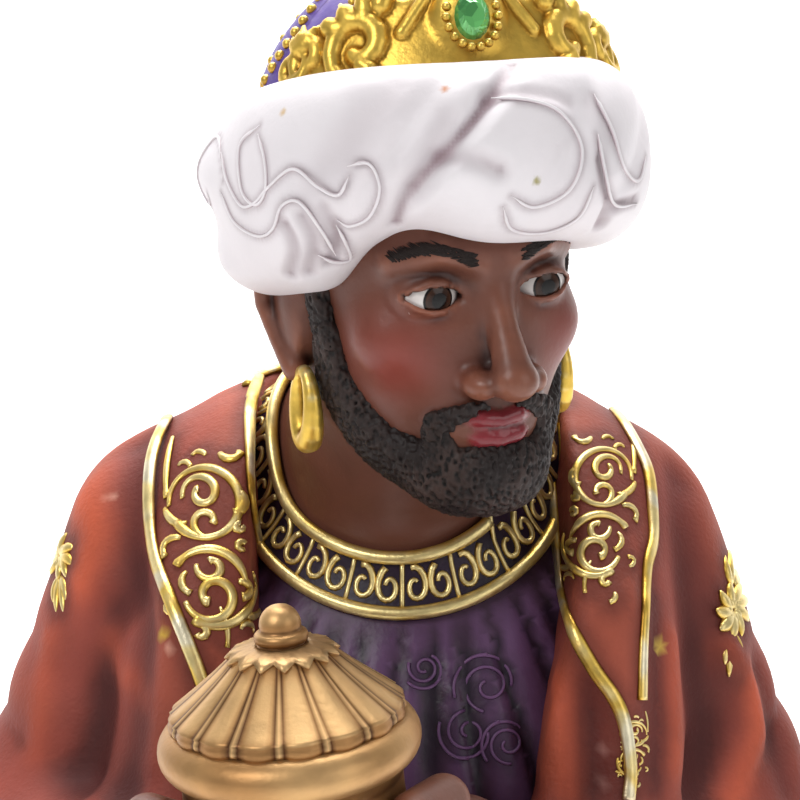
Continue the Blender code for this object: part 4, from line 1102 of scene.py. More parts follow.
def make_eyes():
    """Painted eyes: rings round the gaze from the dark middle out to the white."""
    gaze = np.array(GAZE) / np.linalg.norm(GAZE)
    across = np.cross(gaze, (0.0, 0.0, 1.0))
    across = across / np.linalg.norm(across)
    up = np.cross(across, gaze)
    sides = 40
    turn = 2.0 * math.pi * np.arange(sides) / sides
    rim = np.cos(turn)[:, None] * across + np.sin(turn)[:, None] * up
    for side, name in ((-1, "eye_left"), (1, "eye_right")):
        centre = np.array(EYE_PLACE) * (side, 1, 1)
        rings = [centre + EYE_RADIUS * (math.cos(spread) * gaze + math.sin(spread) * rim)
                 for spread, _ in EYE_BANDS]
        corners = np.vstack(rings + [centre[None]])
        tones = np.array([srgb(*tone) for _, tone in EYE_BANDS for _ in range(sides)] + [srgb(90, 60, 50)])
        faces = []
        for i in range(len(EYE_BANDS) - 1):
            for k in range(sides):
                a, b = i * sides + k, i * sides + (k + 1) % sides
                faces.append((a, a + sides, b + sides, b))
        last = (len(EYE_BANDS) - 1) * sides
        faces += [(last + k, len(corners) - 1, last + (k + 1) % sides) for k in range(sides)]
        points = corners @ HEAD_AXES.T * HEAD + np.array(HEAD_CENTRE)
        points, faces, order = welded(points, faces, np.arange(len(corners)))
        keep(Clay(points, faces).finish(name, tones[order], EYE_PAINT), "painted_resin", "figure")


def towards_face(points):
    """Rays that lay points of the head's frame on the face."""
    world = np.asarray(points, dtype=float) @ HEAD_AXES.T * HEAD + np.array(HEAD_CENTRE)
    way = HEAD_AXES @ np.array((0.0, 1.0, 0.0))
    return world, np.tile(way, (len(world), 1))


def make_brows():
    """Brows painted over a carved ridge: short hairs that lean outward."""
    draw = np.random.default_rng(4)
    rays = []
    for side in (-1, 1):
        for k in range(60):
            share = k / 59.0
            arch = 0.082 + 0.024 * math.sin(math.pi * share)
            root = np.array((side * (0.052 + 0.165 * share), -0.60, arch))
            for row in (-1, 0, 1):
                width = 0.0085 * (1.0 - 0.70 * share)
                start = root + np.array((0.0, 0.0, width * row + draw.normal(0, 0.002)))
                lean = math.radians(62.0 - 58.0 * share - 10.0 * row)
                reach = 0.024 - 0.006 * share
                tip = start + reach * np.array((side * math.sin(lean + 0.5), 0.0, math.cos(lean + 0.5) * 0.9))
                rays.append(towards_face(np.linspace(start, tip, 4)))
    hair = np.array((0.00016, 0.00022, 0.00018, 0.00005))
    points, faces, shade = gathered(strokes_on(head_piece_form, rays, [hair] * len(rays), sides=5))
    # each hair paler on top, painted highlight, and darker at its sides and underneath, painted shade
    colours = mix(srgb(14, 10, 9), srgb(34, 25, 22), ramp(shade, 0.0, 1.0))
    keep(Clay(points, faces).finish("eyebrows", colours, HAIR_PAINT), "painted_resin", "figure")


def beard_pits(p):
    """Close curls: how deep the small pits between them go, 0 to 1."""
    q = to_head(p)
    lean = q[:, 0] * 0.35
    stretched = np.stack((p[:, 0] + 0.0012 * lean, p[:, 1], 0.62 * p[:, 2] + 0.004 * lean), axis=1)
    cells = worley(stretched, 0.00090, 11)
    return np.exp(-((cells - 0.05) / 0.46) ** 2)


def curled_beard_form(p):
    return (beard_form(to_head(p)) - 0.004) * HEAD + 0.00085 * beard_pits(p) - 0.00025


def make_beard():
    clay = sculpt(curled_beard_form, (-0.040, -0.085, 0.505), (0.050, 0.012, 0.590), 0.00045)
    # darker down in the pits between the curls: painted shade; the speckle is random tone
    colours = mix(srgb(60, 46, 42), srgb(8, 6, 6), ramp(beard_pits(clay.points), 0.15, 0.75))
    colours = mix(colours, srgb(34, 26, 25), speckle(clay.points, 400.0, 17))
    keep(clay.finish("beard", colours, HAIR_PAINT), "painted_resin", "figure")


def make_earrings():
    def form(p):
        return earring_form(to_head(p)) * HEAD
    clay = sculpt(form, (-0.046, -0.060, 0.515), (0.060, 0.020, 0.575), 0.0006)
    # the hoops' gold paler on raised places, painted highlight, and browner in hollows, painted shade
    shade = ramp(clay.ridges(6), -0.0002, 0.0003) * 1.4 - 0.3
    keep(clay.finish("earrings", gold_colours(shade), GOLD_PAINT), "painted_resin", "figure")


# Turban

# White turban paint; the greys serve random mottle and painted shade, the deepest painted shade in the creases
TURBAN_WHITE = srgb(226, 221, 224)
TURBAN_MOTTLE_AND_SHADE = srgb(186, 166, 172)
TURBAN_DEEP_SHADE = srgb(128, 104, 112)
# Scrolls lightly cut in the cloth: each a few spots in the picture's pixels
TURBAN_SCROLLS = (
    ((260, 125), (240, 146), (242, 190), (256, 205), (266, 190), (265, 160), (258, 134)),
    ((221, 152), (228, 182), (242, 206), (256, 202), (268, 188), (293, 169), (318, 187),
     (338, 195), (349, 176)),
    ((347, 166), (369, 164), (380, 188), (370, 216), (350, 226), (337, 220)),
    ((221, 192), (235, 222), (258, 236), (273, 229), (282, 206), (299, 202), (321, 230), (336, 256)),
    ((336, 225), (346, 244), (350, 259), (334, 262), (318, 255)),
    ((491, 98), (530, 100), (562, 114), (582, 150), (570, 189), (535, 207), (511, 196)),
    ((503, 207), (512, 229), (545, 232), (578, 217), (594, 186)),
    ((594, 94), (612, 130), (624, 168), (638, 181), (646, 156)),
    ((598, 134), (605, 172), (614, 204), (637, 204)),
)


def turban_piece_form(p):
    return turban_form(to_turban(p))


# Creases of the wound cloth: spots in the picture's pixels, depth and width in metres, strength of the painted
# shade in each, which is painted highlight where the depth is negative
TURBAN_CREASES = (
    (((512, 62), (492, 97), (468, 127), (444, 153), (420, 178), (404, 200), (396, 224)), 0.0017, 0.0011, 0.55),
    (((446, 116), (434, 142), (423, 163), (412, 184)), 0.0012, 0.0026, 0.22),
    (((488, 100), (505, 92), (530, 90), (556, 94), (572, 101)), 0.0013, 0.0017, 0.38),
    (((440, 157), (456, 156), (480, 161), (500, 170)), 0.0015, 0.0018, 0.42),
    (((284, 226), (291, 240), (294, 256), (290, 276)), 0.0015, 0.0013, 0.70),
    (((301, 218), (311, 236), (314, 252), (309, 274)), 0.0015, 0.0013, 0.70),
    (((322, 210), (333, 228), (337, 246), (330, 264)), 0.0014, 0.0013, 0.60),
    (((358, 110), (338, 138), (322, 162), (312, 190)), 0.0010, 0.0042, 0.16),
    (((394, 86), (372, 114), (354, 140), (342, 164)), 0.0010, 0.0042, 0.16),
    (((602, 160), (606, 182), (610, 200), (603, 224)), 0.0018, 0.0014, 0.60),
    (((636, 200), (620, 206), (609, 214), (600, 228)), 0.0016, 0.0013, 0.70),
    (((474, 88), (452, 116), (430, 142), (408, 170)), -0.0010, 0.0040, 0.00),
    (((530, 74), (560, 84), (590, 104), (606, 132)), 0.0007, 0.0036, 0.08),
)
TURBAN_FLECKS = ((445, 90, (196, 122, 60)), (537, 181, (150, 140, 60)), (283, 112, (206, 176, 130)))


ROUTE_STEP = 0.006               # a longer step from place to place means another surface


def unbroken(spots):
    """The longest part of a route that stays on one surface."""
    breaks = np.flatnonzero(length(np.diff(spots, axis=0)) > ROUTE_STEP) + 1
    return max(np.split(spots, breaks), key=len)


def folded(form, folds):
    """A form with soft creases along routes of the picture, and the places of each crease."""
    places = [unbroken(march(form, *sight(smooth_route(route, 2.0)))[0]) for route, _, _, _ in folds]
    trees = [point_tree(spots) for spots in places]

    def changed(p):
        values = form(p)
        for spots, tree, (_, depth, width, _) in zip(places, trees, folds):
            low, high = spots.min(axis=0) - 2.6 * width, spots.max(axis=0) + 2.6 * width
            near = np.flatnonzero(np.all((p > low) & (p < high), axis=1))
            if depth and len(near):
                values[near] += depth * np.exp(-(tree_distance(tree, p[near]) / width) ** 2)
        return values
    return changed, places


def folds_shaded(colours, points, places, folds, dark, bright):
    """Painted shade in the creases and painted highlight on the ridges."""
    for spots, (_, depth, width, tint) in zip(places, folds):
        tone = bright if depth < 0 else dark
        colours = mix(colours, tone, tint * np.exp(-(nearness(points, spots) / (0.0004 + 0.8 * width)) ** 2))
    return colours


def make_turban():
    routes = [smooth_route(route, 3.0) for route in TURBAN_SCROLLS]
    rays = [sight(route) for route in routes] + [back_scroll(turn) for turn in (1.5, 2.2, 3.0, 3.8, 4.5)]
    tapers = [np.clip(np.minimum(np.arange(n), n - 1 - np.arange(n)) / 4.0, 0.3, 1.0)
              for n in (len(starts) for starts, _ in rays)]
    parts = strokes_on(turban_piece_form, rays, [SCROLL_LINE * taper for taper in tapers], sides=6)
    points, faces, shade = gathered(parts)
    form, places = folded(turban_piece_form, TURBAN_CREASES)
    clay = sculpt(form, (-0.060, -0.095, 0.550), (0.070, 0.045, 0.635), 0.00076)
    fine, broad = clay.ridges(10), clay.ridges(60)
    # Painted shade: greyer in the broad hollows, darker in the fine creases and beside the raised scroll lines;
    # the speckle is random mottle
    colours = mix(TURBAN_WHITE, TURBAN_MOTTLE_AND_SHADE, ramp(-broad, 0.0001, 0.0012))
    colours = mix(colours, TURBAN_DEEP_SHADE, 0.7 * ramp(-fine, 0.00008, 0.00045))
    colours = mix(colours, TURBAN_MOTTLE_AND_SHADE, 0.15 * speckle(clay.points, 160.0, 2))
    colours = mix(colours, TURBAN_DEEP_SHADE, 0.40 * np.exp(-(nearness(clay.points, points) / 0.0009) ** 2))
    # painted shade along the listed creases, painted highlight along raised folds
    colours = folds_shaded(colours, clay.points, places, TURBAN_CREASES, TURBAN_DEEP_SHADE, TURBAN_WHITE)
    for u, v, tone in TURBAN_FLECKS:
        spot = march(turban_piece_form, *sight([(u, v)]))[0]
        colours = mix(colours, srgb(*tone), 0.9 * ramp(-nearness(clay.points, spot), -0.0011, -0.0004))
    keep(clay.finish("turban", colours, TURBAN_PAINT), "painted_resin", "figure")
    # the scroll lines white on top, painted highlight, and greyer at their sides, painted shade
    colours = mix(TURBAN_MOTTLE_AND_SHADE, TURBAN_WHITE, ramp(shade, -0.2, 0.7))
    keep(Clay(points, faces).finish("turban_scrolls", colours, TURBAN_PAINT), "painted_resin", "figure")


SCROLL_LINE = 0.00042


def point_tree(others):
    tree = KDTree(len(others))
    for i, other in enumerate(others):
        tree.insert(other, i)
    tree.balance()
    return tree


def tree_distance(tree, points):
    return np.array([tree.find(point)[2] for point in points])


def nearness(points, others):
    """Distance from each point to the nearest of some others."""
    return tree_distance(point_tree(others), points)


def back_scroll(turn):
    """A plain scroll on the turban's far side, which the picture doesn't show."""
    sweep = np.linspace(0.0, 1.7 * math.pi, 26)
    size = 0.24 * (1.0 - 0.16 * sweep)
    angle = turn + size * np.cos(sweep)
    height = 0.034 * size * np.sin(sweep) * 1.6
    ways = -np.stack((np.sin(angle), -np.cos(angle), np.zeros_like(angle)), axis=1)
    local = -0.12 * ways + np.stack((0.0 * angle, 0.0 * angle, height), axis=1)
    return local @ TURBAN_AXES.T + TURBAN_CENTRE, ways @ TURBAN_AXES.T


# Crown

def crown_point(turn, height, out=0.0):
    """A place on the crown's outer face: round it by turn, up it by height."""
    radius = CROWN_RADIUS + CROWN_FLARE * height + 0.5 * CROWN_WALL + out
    back = -CROWN_SQUASH * radius * np.cos(turn)
    return np.stack((radius * np.sin(turn), back, height + 0.0 * turn), axis=-1)


def crown_curl(turn, height, size, start, sweep, side, thick):
    """A volute on the crown, as a rope of cones that winds in to a bead."""
    share = np.linspace(0.0, 1.0, 15)
    angle = start + sweep * share
    radius = size * (1.0 - 0.72 * share)
    across = side * radius * np.cos(angle)
    up = radius * np.sin(angle)
    points = crown_point(turn + across / CROWN_RADIUS, height + up)
    radii = thick * (0.75 + 0.35 * np.sin(math.pi * share))
    return points, radii


def crown_leaf(turn, height, lean, reach, thick):
    share = np.linspace(0.0, 1.0, 5)
    across = math.sin(lean) * reach * share
    up = math.cos(lean) * reach * share
    points = crown_point(turn + across / CROWN_RADIUS, height + up, 0.0004)
    return points, thick * (0.35 + np.sin(math.pi * np.clip(share + 0.12, 0.0, 1.0)))


def crown_ropes():
    """The scrolls, leaves and borders of the diadem, as ropes with a radius along each."""
    ropes = []
    for side in (-1, 1):
        ropes.append(crown_curl(side * 0.60, 0.0082, 0.0074, -1.1, 6.4, side, 0.0021))
        for k, lean in enumerate((1.25, 0.70, 0.15, -0.35)):
            turn = side * (0.72 - 0.075 * k)
            ropes.append(crown_leaf(turn, 0.0118 + 0.0010 * k, side * lean, 0.0055, 0.0017))
        ropes.append(crown_leaf(side * 0.50, 0.0020, side * 0.9, 0.0070, 0.0015))
        ropes.append(crown_curl(side * 0.93, 0.0072, 0.0048, -1.2, 5.6, side, 0.0015))
        for lean in (0.9, 0.2, -0.5):
            ropes.append(crown_leaf(side * 0.97, 0.0085, side * lean, 0.0055, 0.0014))
        ropes.append(crown_curl(side * (CROWN_SPAN - 0.08), 0.0056, 0.0044, 2.4, 6.4, side, 0.0014))
        slope = np.linspace(0.0, 1.0, 9)
        ropes.append((crown_point(side * (0.37 - 0.33 * slope), 0.0100 + 0.0170 * slope), np.full(9, 0.0013)))
    ring = np.linspace(-CROWN_SPAN, CROWN_SPAN, 41)
    ropes.append((crown_point(ring, np.full(41, 0.0012)), np.full(41, 0.0011)))
    return ropes


def carved_crown_form(p):
    c = to_crown(p)
    form = crown_form(c)
    for points, radii in crown_ropes():
        low, high = points.min(axis=0) - 0.004, points.max(axis=0) + 0.004
        near = np.flatnonzero(np.all((c > low) & (c < high), axis=1))
        if len(near):
            form[near] = join(form[near], chain(c[near], points, radii), 0.0006)
    return form


GEM_BEADS = 18


def make_crown():
    clay = sculpt(carved_crown_form, (-0.036, -0.075, 0.595), (0.060, 0.030, 0.650), 0.00060)
    fine = clay.ridges(6)
    # the crown's gold paler on raised places, painted highlight, and browner in hollows, painted shade
    shade = 0.26 + 1500.0 * fine
    keep(clay.finish("crown", gold_colours(shade), GOLD_PAINT), "painted_resin", "figure")
    parts = []
    centre = np.array(CROWN_CENTRE)
    for k in range(GEM_BEADS):
        turn = 2.0 * math.pi * k / GEM_BEADS
        up = GEM_RISE + 0.0063 * math.sin(turn)
        lean = -CROWN_SQUASH * CROWN_FLARE * (up - GEM_RISE)
        spot = np.array((0.0053 * math.cos(turn), -GEM_OUT - 0.0009 + lean, up))
        parts.append(ball(centre + CROWN_AXES @ spot, (0.00095, 0.00095, 0.00095)))
    points, faces, shade = gathered(parts)
    # each bead paler on top, painted highlight, and browner underneath, painted shade
    keep(Clay(points, faces).finish("crown_beads", gold_colours(0.4 + 0.5 * shade), GOLD_PAINT),
         "painted_resin", "figure")


SEAM_BEAD, RIB_BEAD = 0.00125, 0.00115     # radii of the beads along the cap's seam and ribs


def make_cap():
    def form(p):
        return cap_form(to_crown(p))
    clay = sculpt(form, (-0.045, -0.055, 0.588), (0.062, 0.045, 0.650), 0.0009)
    fine = clay.ridges(6)
    # Purple darker in the hollows, painted shade, and lighter on the raised places, painted highlight
    colours = mix(srgb(92, 70, 150), srgb(44, 30, 84), ramp(-fine, 0.00002, 0.00030))
    colours = mix(colours, srgb(140, 118, 196), 0.6 * ramp(fine, 0.00002, 0.00030))
    keep(clay.finish("cap", colours, CAP_PAINT), "painted_resin", "figure")
    parts = []
    seam = smooth_route(((266, 80), (279, 58), (292, 38), (306, 18), (320, -2)), 14.0)
    spots, _, met = march(form, *sight(seam))
    for spot in spots[met]:
        parts.append(ball(spot, (SEAM_BEAD, SEAM_BEAD, SEAM_BEAD), rings=5, sides=8))
    for rib in range(0, CAP_RIBS, 2):
        turn = 2.0 * math.pi * rib / CAP_RIBS
        for k in range(9):
            tip = math.radians(12.0 + 9.0 * k)
            way = np.array((math.sin(turn) * math.sin(tip), math.cos(turn) * math.sin(tip), math.cos(tip)))
            local = np.array(CAP_MIDDLE) + np.array(CAP_RADII) * way
            spot = np.array(CROWN_CENTRE) + CROWN_AXES @ local
            parts.append(ball(spot, (RIB_BEAD, RIB_BEAD, RIB_BEAD), rings=5, sides=8))
    points, faces, shade = gathered(parts)
    # each bead paler on top, painted highlight, and browner underneath, painted shade
    keep(Clay(points, faces).finish("cap_beads", gold_colours(0.35 + 0.5 * shade), GOLD_PAINT),
         "painted_resin", "figure")


# Robes

# Rust paint: a lighter rust for painted highlight, a dark rust for painted shade, random mottle and the
# darkening beside the trim
RUST = srgb(138, 66, 55)
RUST_HIGHLIGHT = srgb(176, 90, 66)
RUST_DARK = srgb(74, 34, 32)
# Plum paint: a lighter plum for painted highlight and sheen, a dark plum for painted shade, random mottle and
# the piece under the hem
PLUM = srgb(62, 40, 60)
PLUM_HIGHLIGHT = srgb(106, 74, 112)
PLUM_DARK = srgb(24, 15, 28)


# Folds of the mantle: spots in the picture's pixels, depth and width in metres, strength of the paint, which is
# painted shade along a hollow and painted highlight along a ridge of negative depth
MANTLE_FOLDS = (
    (((136, 440), (128, 500), (124, 540), (130, 574), (138, 631), (132, 700), (122, 780)),
     0.0036, 0.0070, 0.85),
    (((112, 610), (104, 660), (98, 700), (88, 770)), 0.0020, 0.0050, 0.50),
    (((655, 600), (656, 681), (660, 734), (655, 790)), 0.0, 0.0034, 0.75),
    (((684, 480), (688, 529), (696, 591), (704, 663), (708, 734), (694, 790)), 0.0034, 0.0068, 0.85),
    (((760, 676), (774, 734), (790, 788)), 0.0020, 0.0045, 0.65),
    (((580, 690), (588, 735), (588, 785)), 0.0022, 0.0050, 0.95),
    (((84, 500), (96, 536), (82, 580)), -0.0010, 0.0065, 0.80),
    (((107, 640), (118, 665), (134, 698)), -0.0008, 0.0040, 0.35),
    (((672, 640), (675, 716), (676, 765)), -0.0008, 0.0036, 0.40),
    (((728, 650), (749, 681), (756, 731), (742, 770), (730, 799)), -0.0022, 0.0044, 0.80),
    (((50, 640), (44, 690), (40, 750)), -0.0010, 0.0050, 0.35),
    (((556, 680), (562, 740), (566, 790)), -0.0006, 0.0040, 0.60),
)
# painted highlight along the raised folds
RUST_FOLD_HIGHLIGHT = srgb(198, 92, 62)
MANTLE_FLECKS = ((110, 495, (214, 160, 140)), (161, 632, (206, 176, 60)), (598, 782, (216, 170, 160)),
                 (658, 648, (190, 160, 70)), (604, 748, (200, 150, 140)), (168, 648, (196, 140, 120)))


def make_mantle():
    form, places = folded(mantle_form, MANTLE_FOLDS)
    clay = sculpt(form, (-0.128, -0.110, 0.018), (0.128, 0.125, 0.560), 0.0024)
    fine, broad = clay.ridges(10), clay.averaged(clay.ridges(60)[:, None], 6)[:, 0]
    # Painted shade in the broad and fine hollows of the folds, painted highlight on the broad ridges; the
    # speckle is random darker mottle
    colours = mix(RUST, RUST_DARK, 0.85 * ramp(-broad, 0.0001, 0.0022))
    colours = mix(colours, RUST_DARK, 0.6 * ramp(-fine, 0.0001, 0.0008))
    colours = mix(colours, RUST_HIGHLIGHT, 0.55 * ramp(broad, 0.0002, 0.0024))
    colours = mix(colours, RUST_DARK, 0.30 * ramp(speckle(clay.points, 42.0, 5), 0.55, 0.95))
    # painted shade along the listed folds' hollows, painted highlight along their ridges
    colours = folds_shaded(colours, clay.points, places, MANTLE_FOLDS, RUST_DARK, RUST_FOLD_HIGHLIGHT)
    trim_gap = nearness(clay.points, make_mantle_trim())
    colours = mix(colours, RUST_DARK, 0.60 * np.exp(-(trim_gap / 0.0032) ** 2))
    for u, v, tone in MANTLE_FLECKS:
        spot = march(mantle_form, *sight([(u, v)]))[0]
        colours = mix(colours, srgb(*tone), 0.9 * ramp(-nearness(clay.points, spot), -0.0022, -0.0008))
    keep(clay.finish("mantle", colours, MANTLE_PAINT), "painted_resin", "figure")


def tunic_piece_form(p):
    """The tunic with its fine gathers, sunk where the skin covers it."""
    c = to_collar(p)
    out = np.hypot(c[:, 0], 0.86 * c[:, 1]) - COLLAR_OUTER
    turn = np.arctan2(c[:, 0], -c[:, 1])
    waver = turn + 0.05 * np.sin(70.0 * out) + 0.02 * np.sin(31.0 * turn)
    gather = np.sqrt(np.sin(21.0 * waver) ** 2 + 0.02) - 0.6
    strength = 0.0021 * ramp(out, -0.001, 0.010) * ramp(p[:, 2], 0.36, 0.44)
    sunk = 0.0012 * ramp(-inside_collar(p), -0.0008, 0.0008)
    return tunic_form(p) - strength * gather + sunk


# Scrolls lightly cut in the tunic: centre in the picture's pixels, radius, start in degrees, hand
TUNIC_SCROLLS = ((488, 686, 26, 100, 1), (468, 732, 22, 260, -1),
                 (508, 744, 20, 80, 1), (424, 668, 16, 200, -1))


def make_tunic():
    clay = sculpt(tunic_piece_form, (-0.100, -0.100, 0.022), (0.100, 0.110, 0.530), 0.0024)
    fine, broad = clay.ridges(8), clay.ridges(40)
    # Painted shade in the broad and fine hollows, painted highlight on the broad ridges
    colours = mix(PLUM, PLUM_DARK, ramp(-broad, 0.0, 0.0012))
    colours = mix(colours, PLUM_DARK, 0.7 * ramp(-fine, 0.00005, 0.0004))
    colours = mix(colours, PLUM_HIGHLIGHT, 0.45 * ramp(broad, 0.0001, 0.0012))
    c = to_collar(clay.points)
    below = np.hypot(c[:, 0], 0.86 * c[:, 1]) - COLLAR_OUTER
    # painted sheen on the raised gathers below the collar
    sheen = ramp(-below, -0.035, -0.004) * ramp(fine, -0.0001, 0.0003)
    colours = mix(colours, PLUM_HIGHLIGHT, 0.55 * sheen)
    routes = [route for u, v, radius, start, hand in TUNIC_SCROLLS
              for route, _ in scroll_strokes((u, v), radius, start, hand)]
    parts = strokes_on(tunic_piece_form, [sight(route) for route in routes], [0.00046] * len(routes), sides=6)
    points, faces, shade = gathered(parts)
    # darker beside the raised scrolls: painted shade
    colours = mix(colours, PLUM_DARK, 0.6 * np.exp(-(nearness(clay.points, points) / 0.0012) ** 2))
    keep(clay.finish("tunic", colours, TUNIC_PAINT), "painted_resin", "figure")
    # the scrolls lighter on top, painted highlight, and darker at their sides, painted shade
    colours = mix(PLUM_DARK, PLUM_HIGHLIGHT, ramp(shade, -0.4, 1.0))
    keep(Clay(points, faces).finish("tunic_scrolls", colours, TUNIC_PAINT), "painted_resin", "figure")


# Mantle borders

LEFT_INNER = ((262, 368), (251, 402), (249, 433), (250, 496), (257, 538), (268, 591), (276, 640), (282, 700))
LEFT_OUTER = ((171, 412), (156, 444), (150, 475), (150, 517), (156, 559), (171, 601), (188, 644), (202, 682),
              (214, 720))
RIGHT_INNER = ((560, 392), (552, 431), (550, 452), (553, 487), (557, 541), (563, 594), (575, 634), (594, 669),
               (613, 696), (624, 723), (630, 768), (628, 800))
RIGHT_OUTER = ((605, 404), (621, 420), (637, 447), (648, 474), (652, 514), (652, 541), (646, 567), (644, 608),
               (642, 650), (641, 700))
# A panel of foliage, in pixels from its middle. Each stroke: centre, radius, first angle, sweep, how far
# it winds in, half width. Angles run from the right towards the bottom of the picture.
FOLIAGE = (
    (-1, -42, 36, 175, 330, 0.95, 3.3), (-4, -52, 20, 165, 430, 0.25, 3.3), (1, -23, 17, 60, 320, 0.35, 3.0),
    (-21, -77, 7, 200, 150, 0.8, 2.2), (-7, -86, 8, 330, -120, 0.9, 2.4), (24, -98, 12, 150, -125, 1.0, 3.4),
    (120, -70, 158, 194, -22, 1.02, 2.6), (-20, -42, 22, 165, -75, 1.0, 3.2),
    (-30, 6, 14, 290, -140, 0.9, 3.2),
    (33, -19, 5, 0, 300, 0.6, 3.0), (36, 0, 5, 60, 280, 0.6, 2.8), (26, -42, 13, 290, 150, 0.8, 4.2),
    (2, 42, 38, 352, -139, 1.0, 3.7), (5, 22, 15, 190, -300, 0.4, 3.1), (-12, 37, 13, 235, -130, 0.9, 2.8),
    (7, 51, 28, 168, -410, 0.25, 3.5), (10, 42, 39, 340, 145, 1.0, 3.5), (-5, 87, 7, 250, 270, 0.6, 2.9),
    (-8, 106, 9, 210, -110, 0.9, 2.6), (46, 63, 9, 150, -120, 0.9, 3.0), (36, 46, 10, 250, 200, 0.6, 3.6),
    (-34, 62, 7, 90, 200, 0.7, 2.2), (42, 84, 7, 180, 200, 0.7, 2.2), (-38, 92, 60, 330, 40, 1.0, 1.9),
)
# Where panels lie: middle in pixels, size, and which way round
PANELS = ((206, 545, 1.0, 1), (602, 511, 0.80, -1), (634, 748, 0.34, -1))
CORD_RADIUS = 0.00165
CORD_RUBBED = srgb(226, 222, 206)


def leaf_stroke(root, way, bend, reach, width):
    """A pointed leaf that curls: its route and widths in pixels."""
    share = np.linspace(0.0, 1.0, 9)
    curve = way + bend * share
    steps = np.stack((np.cos(curve), np.sin(curve)), axis=1) * reach / 9.0
    return root + np.cumsum(steps, axis=0), width * np.sin(math.pi * (0.10 + 0.86 * share)) ** 0.8


def curled_stroke(middle, radius, first, sweep, winding, width):
    """A stroke that winds round a middle, thin where it starts and with a knob where it ends."""
    count = max(7, int(abs(sweep) * max(radius, 6.0) / 220.0))
    share = np.linspace(0.0, 1.0, count)
    angle = np.radians(first + sweep * share)
    reach = radius * (1.0 + (winding - 1.0) * share)
    route = np.stack((middle[0] + reach * np.cos(angle), middle[1] + reach * np.sin(angle)), axis=1)
    swell = 0.35 + 0.65 * np.sin(math.pi * np.clip(0.06 + 0.9 * share, 0.0, 1.0)) ** 0.7
    return route, width * (swell + 0.55 * np.exp(-((share - 0.97) / 0.07) ** 2))


FAT = 1.5                      # how much wider the gold stands than the strokes' middles


def panel_strokes(u, v, size, hand):
    """The foliage's strokes at a place; the other hand is the mirrored panel."""
    strokes = []
    for x, y, radius, first, sweep, winding, width in FOLIAGE:
        route, widths = curled_stroke((x, y), radius, first, sweep, winding, width)
        strokes.append((np.array((u, v)) + size * route * np.array((hand, 1.0)), FAT * size * widths))
    return strokes


def scroll_strokes(centre, radius, start, hand):
    """A plain scroll for the tunic: a winding stem and two leaves that hug it."""
    strokes = [curled_stroke(centre, radius, start, 500 * hand, 0.2, 1.0)]
    strokes.append(curled_stroke(centre, 1.35 * radius, start + 60 * hand, 110 * hand, 0.9, 1.0))
    strokes.append(curled_stroke(centre, 0.9 * radius, start - 100 * hand, -120 * hand, 1.4, 1.0))
    return strokes


PIXEL = 0.00024                # about how much of the cloth one pixel covers


def picture_strokes(strokes, flat):
    """Strokes of the picture's plane, laid on the mantle as flat gold relief."""
    rays = [sight(route) for route, _ in strokes]
    widths = [np.maximum(width, 0.5) * PIXEL for _, width in strokes]
    return strokes_on(mantle_form, rays, widths, flat=flat, sides=7)


def make_mantle_trim():
    cords = [sight(smooth_route(route, 4.0)) for route in (LEFT_INNER, LEFT_OUTER, RIGHT_INNER, RIGHT_OUTER)]
    cords += lower_cords() + [nape_cord()]
    parts = strokes_on(mantle_form, cords, [CORD_RADIUS] * len(cords), flat=0.62, sides=10,
                       lift=0.2 * CORD_RADIUS)
    points, faces, shade = gathered(parts)
    cord_points = points
    # The cords' gold: painted highlight on top and painted shade underneath, with random wear and rubbed
    # patches on top
    wear = 0.9 * ramp(speckle(points, 260.0, 8), 0.35, 0.9) + 0.3 * speckle(points, 900.0, 9) - 0.35
    rubbed = ramp(speckle(points, 420.0, 31), 0.62, 0.80) * ramp(shade, 0.1, 0.7)
    colours = mix(gold_colours(shade + wear), CORD_RUBBED, 0.65 * rubbed)
    cords = Clay(points, faces).finish("mantle_cords", colours, GOLD_PAINT)
    keep(cords, "painted_resin", "figure")
    strokes = []
    for panel in PANELS:
        strokes += panel_strokes(*panel)
    strokes += arm_flower((733, 610), 52) + arm_flower((60, 556), 44)
    points, faces, shade = gathered(picture_strokes(strokes, 0.65))
    # The scrollwork's gold: painted highlight on top and painted shade underneath, with random wear
    wear = 0.5 * speckle(points, 600.0, 9) - 0.25
    keep(Clay(points, faces).finish("mantle_scrollwork", gold_colours(shade * 0.9 + 0.1 + wear), GOLD_PAINT),
         "painted_resin", "figure")
    return np.vstack((cord_points, points))


def arm_flower(centre, radius):
    """Strokes of a gold blossom with leaves above and below, on the upper arm."""
    strokes = []
    centre = np.array(centre, dtype=float)
    squeeze = np.array((0.55, 1.0))
    for k in range(9):
        turn = 2.0 * math.pi * k / 9
        for reach, width in ((0.60, 0.150), (0.34, 0.120)):
            way = turn + 0.3 * (reach < 0.5)
            petal, widths = leaf_stroke(np.zeros(2), way, 0.7, reach * radius, width * radius)
            strokes.append((centre + petal * squeeze, widths))
    for up in (-1, 1):
        for lean in (-0.75, -0.3, 0.3, 0.75):
            root = centre + np.array((0.0, up * 0.42 * radius))
            size = (1.0 - 0.4 * abs(lean)) * radius
            way = up * 0.5 * math.pi + lean
            leaf, widths = leaf_stroke(np.zeros(2), way, -0.9 * lean, size, 0.125 * radius)
            strokes.append((root + leaf * squeeze, widths))
    return strokes


def front_edge(z, side, inset):
    """Starts in front of the mantle's opening edge, for laying trim on it."""
    values = OPENING_LEFT if side < 0 else OPENING_RIGHT
    x = eased(z, OPENING_HEIGHTS, values) + side * inset
    return np.stack((x, np.full_like(z, -0.16), z), axis=1)


